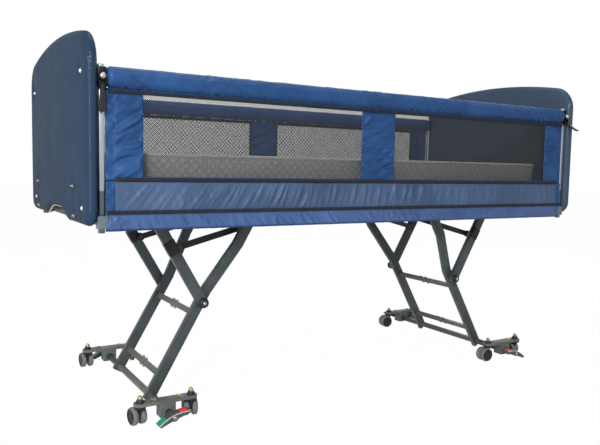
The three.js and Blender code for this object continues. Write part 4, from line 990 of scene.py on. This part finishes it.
def makeSkirt(side):
    k, sign = skirtLook, sides[side]
    low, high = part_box(f"{side}_skirt")
    at = (sign, min(abs(low.y), abs(high.y)) + k["out"])
    low.x, high.x = low.x - k["past"], high.x + k["past"]
    split = high.z - sum(k["lowerTape"]) / 2
    stripEdges = (low.x + k["stripWidth"], high.x - k["stripWidth"])
    pieces = []
    gx, gz = grid = clothGrid(*stripEdges, split, high.z - k["topGap"], k["grid"])
    share = (gz - split) / (high.z - split)
    belly = np.sin(np.pi * share) ** 0.7
    out = belly * (gatherPleats(gx, gz - split, *stripEdges, 40 + sign) - k["gatherBack"])
    out += creases(gx, gz, 61 + sign, stripEdges, (split, high.z), gatherFold) * belly
    pieces.append(clothPiece(f"{side}_gathered_band", grid, np.clip(out, *k["gatherLimits"]), at, slateNylon,
                             "slate_nylon", k["cloth"]))
    gx, gz = grid = clothGrid(low.x, high.x, low.z, split, k["grid"])
    hang = softStep(split - gz, 0, 0.03)
    out = creases(gx, gz, 71 + sign, (low.x, high.x), (low.z, split), hemFold) * hang
    out = out * np.interp(gx, [-0.3, 0.5], [1.0, 0.5])
    corner = np.exp(-((np.minimum(gx - low.x, high.x - gx) / 0.05) ** 2))
    cornerX = (low.x, low.x + k["cornerSpan"])
    out += creases(gx, gz, 81 + sign, cornerX, (low.z, split), cornerFold) * corner * hang
    out -= k["hemCurl"] * (1 - softStep(gz - low.z, 0.0, 0.011)) ** 2
    pieces.append(clothPiece(f"{side}_hem_band", grid, np.clip(out, *k["hemLimits"]), at, hemNylon,
                             "slate_nylon", k["cloth"]))
    for name, x0, x1 in (("head_strip", low.x, stripEdges[0]), ("foot_strip", stripEdges[1], high.x)):
        gx, gz = grid = clothGrid(x0, x1, split, high.z - k["topGap"], k["stripGrid"])
        out = k["stripWave"] * np.sin(gz / 0.0085 + 1.4 * np.sin(gz / 0.031))
        out = out * softStep(np.minimum(gx - x0, x1 - gx), 0, 0.01)
        pieces.append(clothPiece(f"{side}_{name}", grid, out, at, blueNylon, "blue_nylon", k["cloth"]))
    for name, (drop0, drop1) in (("upper_tape", k["upperTape"]), ("lower_tape", k["lowerTape"])):
        x0 = low.x + k["tapeShort" if name == "lower_tape" else "stripWidth"]
        grid = clothGrid(x0, -x0, high.z - drop1, high.z - drop0, k["tapeGrid"])
        out = k["tapeOut"] + 0.0006 * np.sin(grid[0] / 0.011) * np.sin(grid[0] / 0.043)
        pieces.append(clothPiece(f"{side}_{name}", grid, out, at, tapeBlack, "black_net", k["tapeCloth"]))
    for piece in pieces:
        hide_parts(f"{side}_skirt")


for side in sides:
    makeSkirt(side)
print("skirts made")


# Turned and small hard pieces
jointAt = {j["name"]: j for j in frame["joints"]}
wheelShape = {
    "tread": [(0.0052, 0.0062), (0.0262, 0.0062), (0.0288, 0.0078), (0.0299, 0.0105), (0.03, 0.0135),
              (0.03, 0.0172), (0.0294, 0.0203), (0.0278, 0.0226), (0.0252, 0.0236)],
    "hub": [(0.0228, 0.0239), (0.0212, 0.0226), (0.0188, 0.0216), (0.0128, 0.0214), (0.0112, 0.0226),
            (0.0078, 0.0234), (0.0004, 0.0237)],
    "axle": [(0.0049, -0.0063), (0.0049, 0.0063)], "around": 48}


def makeWheels(name):
    # each wheel is its tread and hub profile turned about the axle, and the pair mirrors it
    w, spin = wheelShape, jointAt[f"{name}_spin"]
    profile = w["tread"] + w["hub"]
    shapes, paint = [], []
    for way in (1, -1):
        shapes.append(turned(profile, spin["pos_m"], np.array(spin["axis"]) * way, w["around"]))
        rows = np.repeat(np.arange(len(profile) - 1), w["around"])
        paint += (rows >= len(w["tread"]) - 1).astype(int).tolist() + [0, 1]
    shapes.append(turned(w["axle"], spin["pos_m"], spin["axis"], 16))
    paint += [1] * len(shapes[-1][1])
    wheels = meshPiece(f"{name}_tyres", *stacked(shapes), [treadGrey, blackPlastic], f"{name}_wheels",
                       "tread_rubber", faceMaterial=paint)
    closeShell(wheels)
    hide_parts(f"{name}_wheels")


upWay, plateLip = (0, 0, 1), 0.005  # a carriage's box ends this far above its plate
casterLook = {"cone": [(0.0140, 0.0), (0.0142, 0.002), (0.0118, 0.0085), (0.0100, 0.0108), (0.0060, 0.0110)],
              "nut": [(0.0094, 0.0100), (0.0094, 0.0160), (0.0086, 0.0172), (0.0058, 0.0172)],
              "cap": [(0.0076, 0.0165), (0.0076, 0.0190), (0.0066, 0.0216), (0.0040, 0.0234),
                      (0.0004, 0.0240)],
              "lift": 0.0003}


def makeCasterTop(name):
    c, body, swivel = casterLook, f"{name}_caster", jointAt[f"{name}_swivel"]["pos_m"]
    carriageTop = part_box(f"{name.rsplit('_', 1)[0]}_carriage")[1].z
    top = (swivel[0], swivel[1], carriageTop - plateLip + c["lift"])
    nut = turned(c["nut"], top, upWay, 6, turn=0.3)
    solidPiece(f"{name}_cone", turned(c["cone"], top, upWay, 24), blackPlastic, body, "black_plastic")
    solidPiece(f"{name}_nut", nut, yellowZinc, body, "zinc_rod", flat=True)
    solidPiece(f"{name}_nut_cap", turned(c["cap"], top, upWay, 18), yellowZinc, body, "zinc_rod")


plateBolt = {"along": 0.042, "washer": [(0.0112, -0.0002), (0.0112, 0.0012), (0.0070, 0.0014)],
             "head": [(0.0098, 0.0010), (0.0098, 0.0056), (0.0088, 0.0066), (0.0004, 0.0067)]}


def makePlateBolts(name):
    low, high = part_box(f"{name}_carriage")
    midX, y = (low.x + high.x) / 2, jointAt[f"{name}_level"]["pos_m"][1]
    shapes = []
    for way in (-1, 1):
        at = (midX + way * plateBolt["along"], y, high.z - plateLip)
        shapes.append(turned(plateBolt["washer"], at, upWay, 20))
        shapes.append(turned(plateBolt["head"], at, upWay, 6, turn=0.5 * way))
    solidPiece(f"{name}_plate_bolts", stacked(shapes), yellowZinc, f"{name}_carriage", "zinc_rod", flat=True)


# Brake pedals: a curved rocker on its hub, with a green and a red pad
pedalLook = {"half": 0.054, "rise": 0.006, "sag": 0.012, "thick": 0.0085, "tilt": 19.0, "belly": 2.3,
             "edge": 0.003, "tread": 0.038, "hub": 0.0115, "bore": 0.0062, "hubIn": 0.0004,
             "green": (-0.052, -0.025), "red": (0.024, 0.048), "padIn": (0.003, 0.0055), "padSink": 0.0006,
             "padProud": 0.0011, "padEdge": 0.0008, "rimSpan": 0.99, "rimIn": 0.0034, "rimOut": 0.0006,
             "rimSink": 0.006, "rimProud": 0.0007, "rimEdge": 0.0009,
             "pin": [(0.0058, -0.001), (0.0068, 0.0006), (0.0068, 0.002), (0.0004, 0.0024)]}
pedalGrey = paintFinish("pedal_grey", (0.06, 0.066, 0.072), 0.42)
rimGrey = paintFinish("pedal_rim", (0.4, 0.42, 0.44), 0.4)


def rockerShape(x0, x1, y0, y1, below, above, radius, steps=26, belly=0.0):
    # section (y, height) is a rounded rectangle, carried along the arc z = rise - sag * (x / half)^2,
    # its lower side deeper by the belly towards the middle
    p = pedalLook
    a = np.linspace(0, np.pi / 2, 5)
    midY, midH, halfY, halfH = (y0 + y1) / 2, (above - below) / 2, (y1 - y0) / 2, (above + below) / 2
    radius = min(radius, halfH * 0.95)
    ring = []
    for q, (sy, sh) in enumerate([(1, 1), (-1, 1), (-1, -1), (1, -1)]):
        ring.append(np.stack([midY + sy * (halfY - radius) + radius * np.cos(a + q * np.pi / 2),
                              midH + sh * (halfH - radius) + radius * np.sin(a + q * np.pi / 2)], -1))
    ring = np.concatenate(ring)
    x = np.linspace(x0, x1, steps)[:, None]
    slope = -2 * p["sag"] * x / p["half"] ** 2
    size = np.sqrt(1 + slope ** 2)
    height = ring[None, :, 1] * np.where(ring[None, :, 1] < 0, 1 + belly * (1 - (x / p["half"]) ** 2), 1)
    points = np.stack([x - height * slope / size, np.broadcast_to(ring[None, :, 0], (steps, len(ring))),
                       p["rise"] - p["sag"] * (x / p["half"]) ** 2 + height / size], -1)
    return points, cappedTube(steps, len(ring))


def pedalPlace(points, end, side):
    # tilts a rocker about its hub, then sets it at the carriage of that end and side
    tilt, sign = math.radians(pedalLook["tilt"]), ends[end]
    pivot = jointAt[f"{end}_{side}_pedal_rock"]["pos_m"]
    points = np.asarray(points, float).reshape(-1, 3)
    inX = points[:, 0] * math.cos(tilt) - points[:, 2] * math.sin(tilt)
    upZ = points[:, 0] * math.sin(tilt) + points[:, 2] * math.cos(tilt)
    return np.stack([pivot[0] - sign * inX, sides[side] * points[:, 1], pivot[2] + upZ], -1)


def makePedal(end, side):
    p, body = pedalLook, f"{end}_{side}_pedal"
    low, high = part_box(body)
    y0, y1 = sorted((abs(low.y), abs(high.y)))
    treadIn, half = y1 - p["tread"], p["thick"] / 2

    def add(name, shape, finish, slot="black_plastic"):
        placed = (pedalPlace(shape[0], end, side), shape[1])
        return solidPiece(f"{body}_{name}", placed, finish, body, slot)

    h0, h1 = y0 + p["hubIn"], y1 - p["hubIn"]
    hub = [(p["bore"], h0), (p["hub"], h0), (p["hub"], h1), (p["bore"], h1)]
    rocker = rockerShape(-p["half"], p["half"], treadIn, y1, half, half, p["edge"], belly=p["belly"])
    pedal = add("rocker", stacked([rocker, turned(hub, (0, 0, 0), (0, 1, 0), 28)]), pedalGrey)
    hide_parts(body)
    padAcross = (treadIn + p["padIn"][0], y1 - p["padIn"][1])
    padHeight = (-half + p["padSink"], half + p["padProud"])
    for name, span, finish in (("green_pad", p["green"], greenPad), ("red_pad", p["red"], redPad)):
        add(name, rockerShape(*span, *padAcross, *padHeight, p["padEdge"], steps=14), finish)
    reach = p["half"] * p["rimSpan"]
    rim = rockerShape(-reach, reach, y1 - p["rimIn"], y1 + p["rimOut"], half - p["rimSink"],
                      half + p["rimProud"], p["rimEdge"])
    add("rim", rim, rimGrey)
    pin = [(radius, y1 + out) for radius, out in p["pin"]]
    add("pin_end", turned(pin, (0, 0, 0), (0, 1, 0), 16), yellowZinc, "zinc_rod")


for end in ends:
    for side in sides:
        for spot in ("outer", "inner"):
            makeWheels(f"{end}_{side}_{spot}")
            makeCasterTop(f"{end}_{side}_{spot}")
        makePlateBolts(f"{end}_{side}")
        makePedal(end, side)
print("casters and pedals made")


# Knobs on the leg pivots, link clamps, crossbar bolts, latch knobs and levers
pivotKnob = {"face": 0.229, "grip": [(0.0170, -0.0004), (0.0186, 0.001), (0.0188, 0.0048), (0.0172, 0.0094),
                                     (0.0130, 0.0134), (0.0086, 0.0142)],
             "centre": [(0.0070, 0.0138), (0.0066, 0.0152), (0.0044, 0.0162), (0.0004, 0.0165)]}


def makePivotKnobs(end):
    k, body, pivot = pivotKnob, f"{end}_link", jointAt[f"{end}_leg_fold"]["pos_m"]
    for side, sign in sides.items():
        at = (pivot[0], sign * k["face"], pivot[2])
        grip, cap = turned(k["grip"], at, (0, sign, 0), 32), turned(k["centre"], at, (0, sign, 0), 24)
        solidPiece(f"{end}_{side}_pivot_knob", grip, blackPlastic, body, "black_plastic")
        solidPiece(f"{end}_{side}_pivot_cap", cap, dullNickel, body, "zinc_rod")


linkClamp = {"share": 0.36, "halfLength": 0.027, "halfDepth": 0.021, "inner": 0.2068, "outer": 0.2325,
             "round": 0.004}


def makeLinkClamps(end):
    # a black bracket wrapped over each link where its crank leaves it, set along the link
    c = linkClamp
    top, middle = [np.array(jointAt[f"{end}_{j}"]["pos_m"]) for j in ("lift", "leg_fold")]
    at = (top + (middle - top) * c["share"]) * (1, 0, 1)
    turn = math.atan2(top[0] - middle[0], top[2] - middle[2])
    for side, sign in sides.items():
        y = sorted((sign * c["inner"], sign * c["outer"]))
        box = roundedBox((-c["halfDepth"], y[0], -c["halfLength"]), (c["halfDepth"], y[1], c["halfLength"]),
                         c["round"])
        solidPiece(f"{end}_{side}_link_clamp", moved(box, (0, 1, 0), turn, at), blackPaint, f"{end}_link",
                   "black_paint")


crossbarBolt = {"rise": (0.075, 0.32), "half": 0.011, "spread": 0.017, "stagger": 0.004, "stand": 0.001,
                "head": [(0.0052, -0.0004), (0.0052, 0.0046), (0.0044, 0.0056), (0.0004, 0.0057)],
                "washer": [(0.0072, -0.0004), (0.0072, 0.0012), (0.0040, 0.0013)]}
legTurn = math.radians(60)


def makeCrossbarBolts(end):
    # pairs of bolts above and below the middle of each crossbar, square to it along the leg
    c, body = crossbarBolt, f"{end}_legs"
    foot = np.array(jointAt[f"{end}_near_level"]["pos_m"]) * (1, 0, 1)
    upLeg = np.array([-ends[end] * math.cos(legTurn), 0, math.sin(legTurn)])
    heads, washers = [], []
    for rise in c["rise"]:
        for way, across in ((-1, -1), (-1, 1), (1, -1), (1, 1)):
            at = foot + upLeg * (rise + way * c["half"])
            at = at + np.array([0, across * c["spread"] + c["stagger"] * way, 0])
            heads.append(turned(c["head"], at + upLeg * way * c["stand"], upLeg * way, 6))
            washers.append(turned(c["washer"], at, upLeg * way, 16))
    solidPiece(f"{end}_crossbar_bolts", stacked(heads), brownZinc, body, "zinc_rod", flat=True)
    solidPiece(f"{end}_crossbar_washers", stacked(washers), brownZinc, body, "zinc_rod")


leverLook = {"length": 0.074, "eye": 0.0064, "topWidth": 0.0125, "footWidth": 0.0235, "thick": 0.0105,
             "footThick": 0.006, "steps": 26, "around": 28, "square": 0.4}


def makeLever(side, end):
    v, body = leverLook, f"{side}_{end}_lever"
    joint = jointAt[f"{body}_swing"]
    # wedge: width grows from the eye to the foot and the thickness tapers, as a rounded section
    # down the length
    t = np.linspace(0, 1, v["steps"])
    halfW = np.interp(t, [0, 0.2, 1], [v["topWidth"] / 2, v["topWidth"] / 2, v["footWidth"] / 2])
    halfT = np.interp(t, [0, 1], [v["thick"] / 2, v["footThick"] / 2])
    closing = np.sqrt(np.clip(np.minimum(1, np.minimum((t + 0.004) / 0.09, (1.004 - t) / 0.05)), 0, 1))
    a = np.linspace(0, 2 * np.pi, v["around"], endpoint=False)
    roundX, roundY = [np.sign(f) * np.abs(f) ** v["square"] for f in (np.cos(a), np.sin(a))]
    down = (v["eye"] - t * (v["length"] + v["eye"]))[:, None]
    local = np.stack([halfW[:, None] * closing[:, None] ** 0.5 * roundX,
                      halfT[:, None] * closing[:, None] * roundY,
                      np.broadcast_to(down, (len(t), len(a)))], -1)
    swung = math.radians(-joint["range_deg"][0]) if joint["range_deg"][0] < 0 else 0.0
    shape = moved((local, cappedTube(len(t), len(a))), joint["axis"], swung, joint["pos_m"])
    lever = solidPiece(f"{side}_{end}_latch_lever", shape, blackPlastic, body, "black_plastic")
    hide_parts(body)


latchKnob = {"face": 0.453,
             "collar": [(0.0114, -0.0002), (0.0120, 0.001), (0.0118, 0.0085), (0.0104, 0.0120),
                        (0.0090, 0.0150)],
             "dome": [(0.0090, 0.0118), (0.0092, 0.0150), (0.0082, 0.0178), (0.0054, 0.0198),
                      (0.0004, 0.0206)]}


def makeLatchKnob(side, end):
    k, sign, body = latchKnob, sides[side], f"{side}_drop_rail"
    sleeve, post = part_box(f"{side}_rail_pad"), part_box(f"{side}_{end}_post")
    at = ((post[0].x + post[1].x) / 2, sign * k["face"], (sleeve[0].z + sleeve[1].z) / 2)
    collar, dome = [turned(k[part], at, (0, sign, 0), 28) for part in ("collar", "dome")]
    solidPiece(f"{side}_{end}_latch_collar", collar, blackPlastic, body, "black_plastic")
    solidPiece(f"{side}_{end}_latch_dome", dome, dullNickel, body, "zinc_rod")


for end in ends:
    makePivotKnobs(end)
    makeLinkClamps(end)
    makeCrossbarBolts(end)
    for side in sides:
        makeLever(side, end)
        makeLatchKnob(side, end)
print("knobs, bolts and levers made")
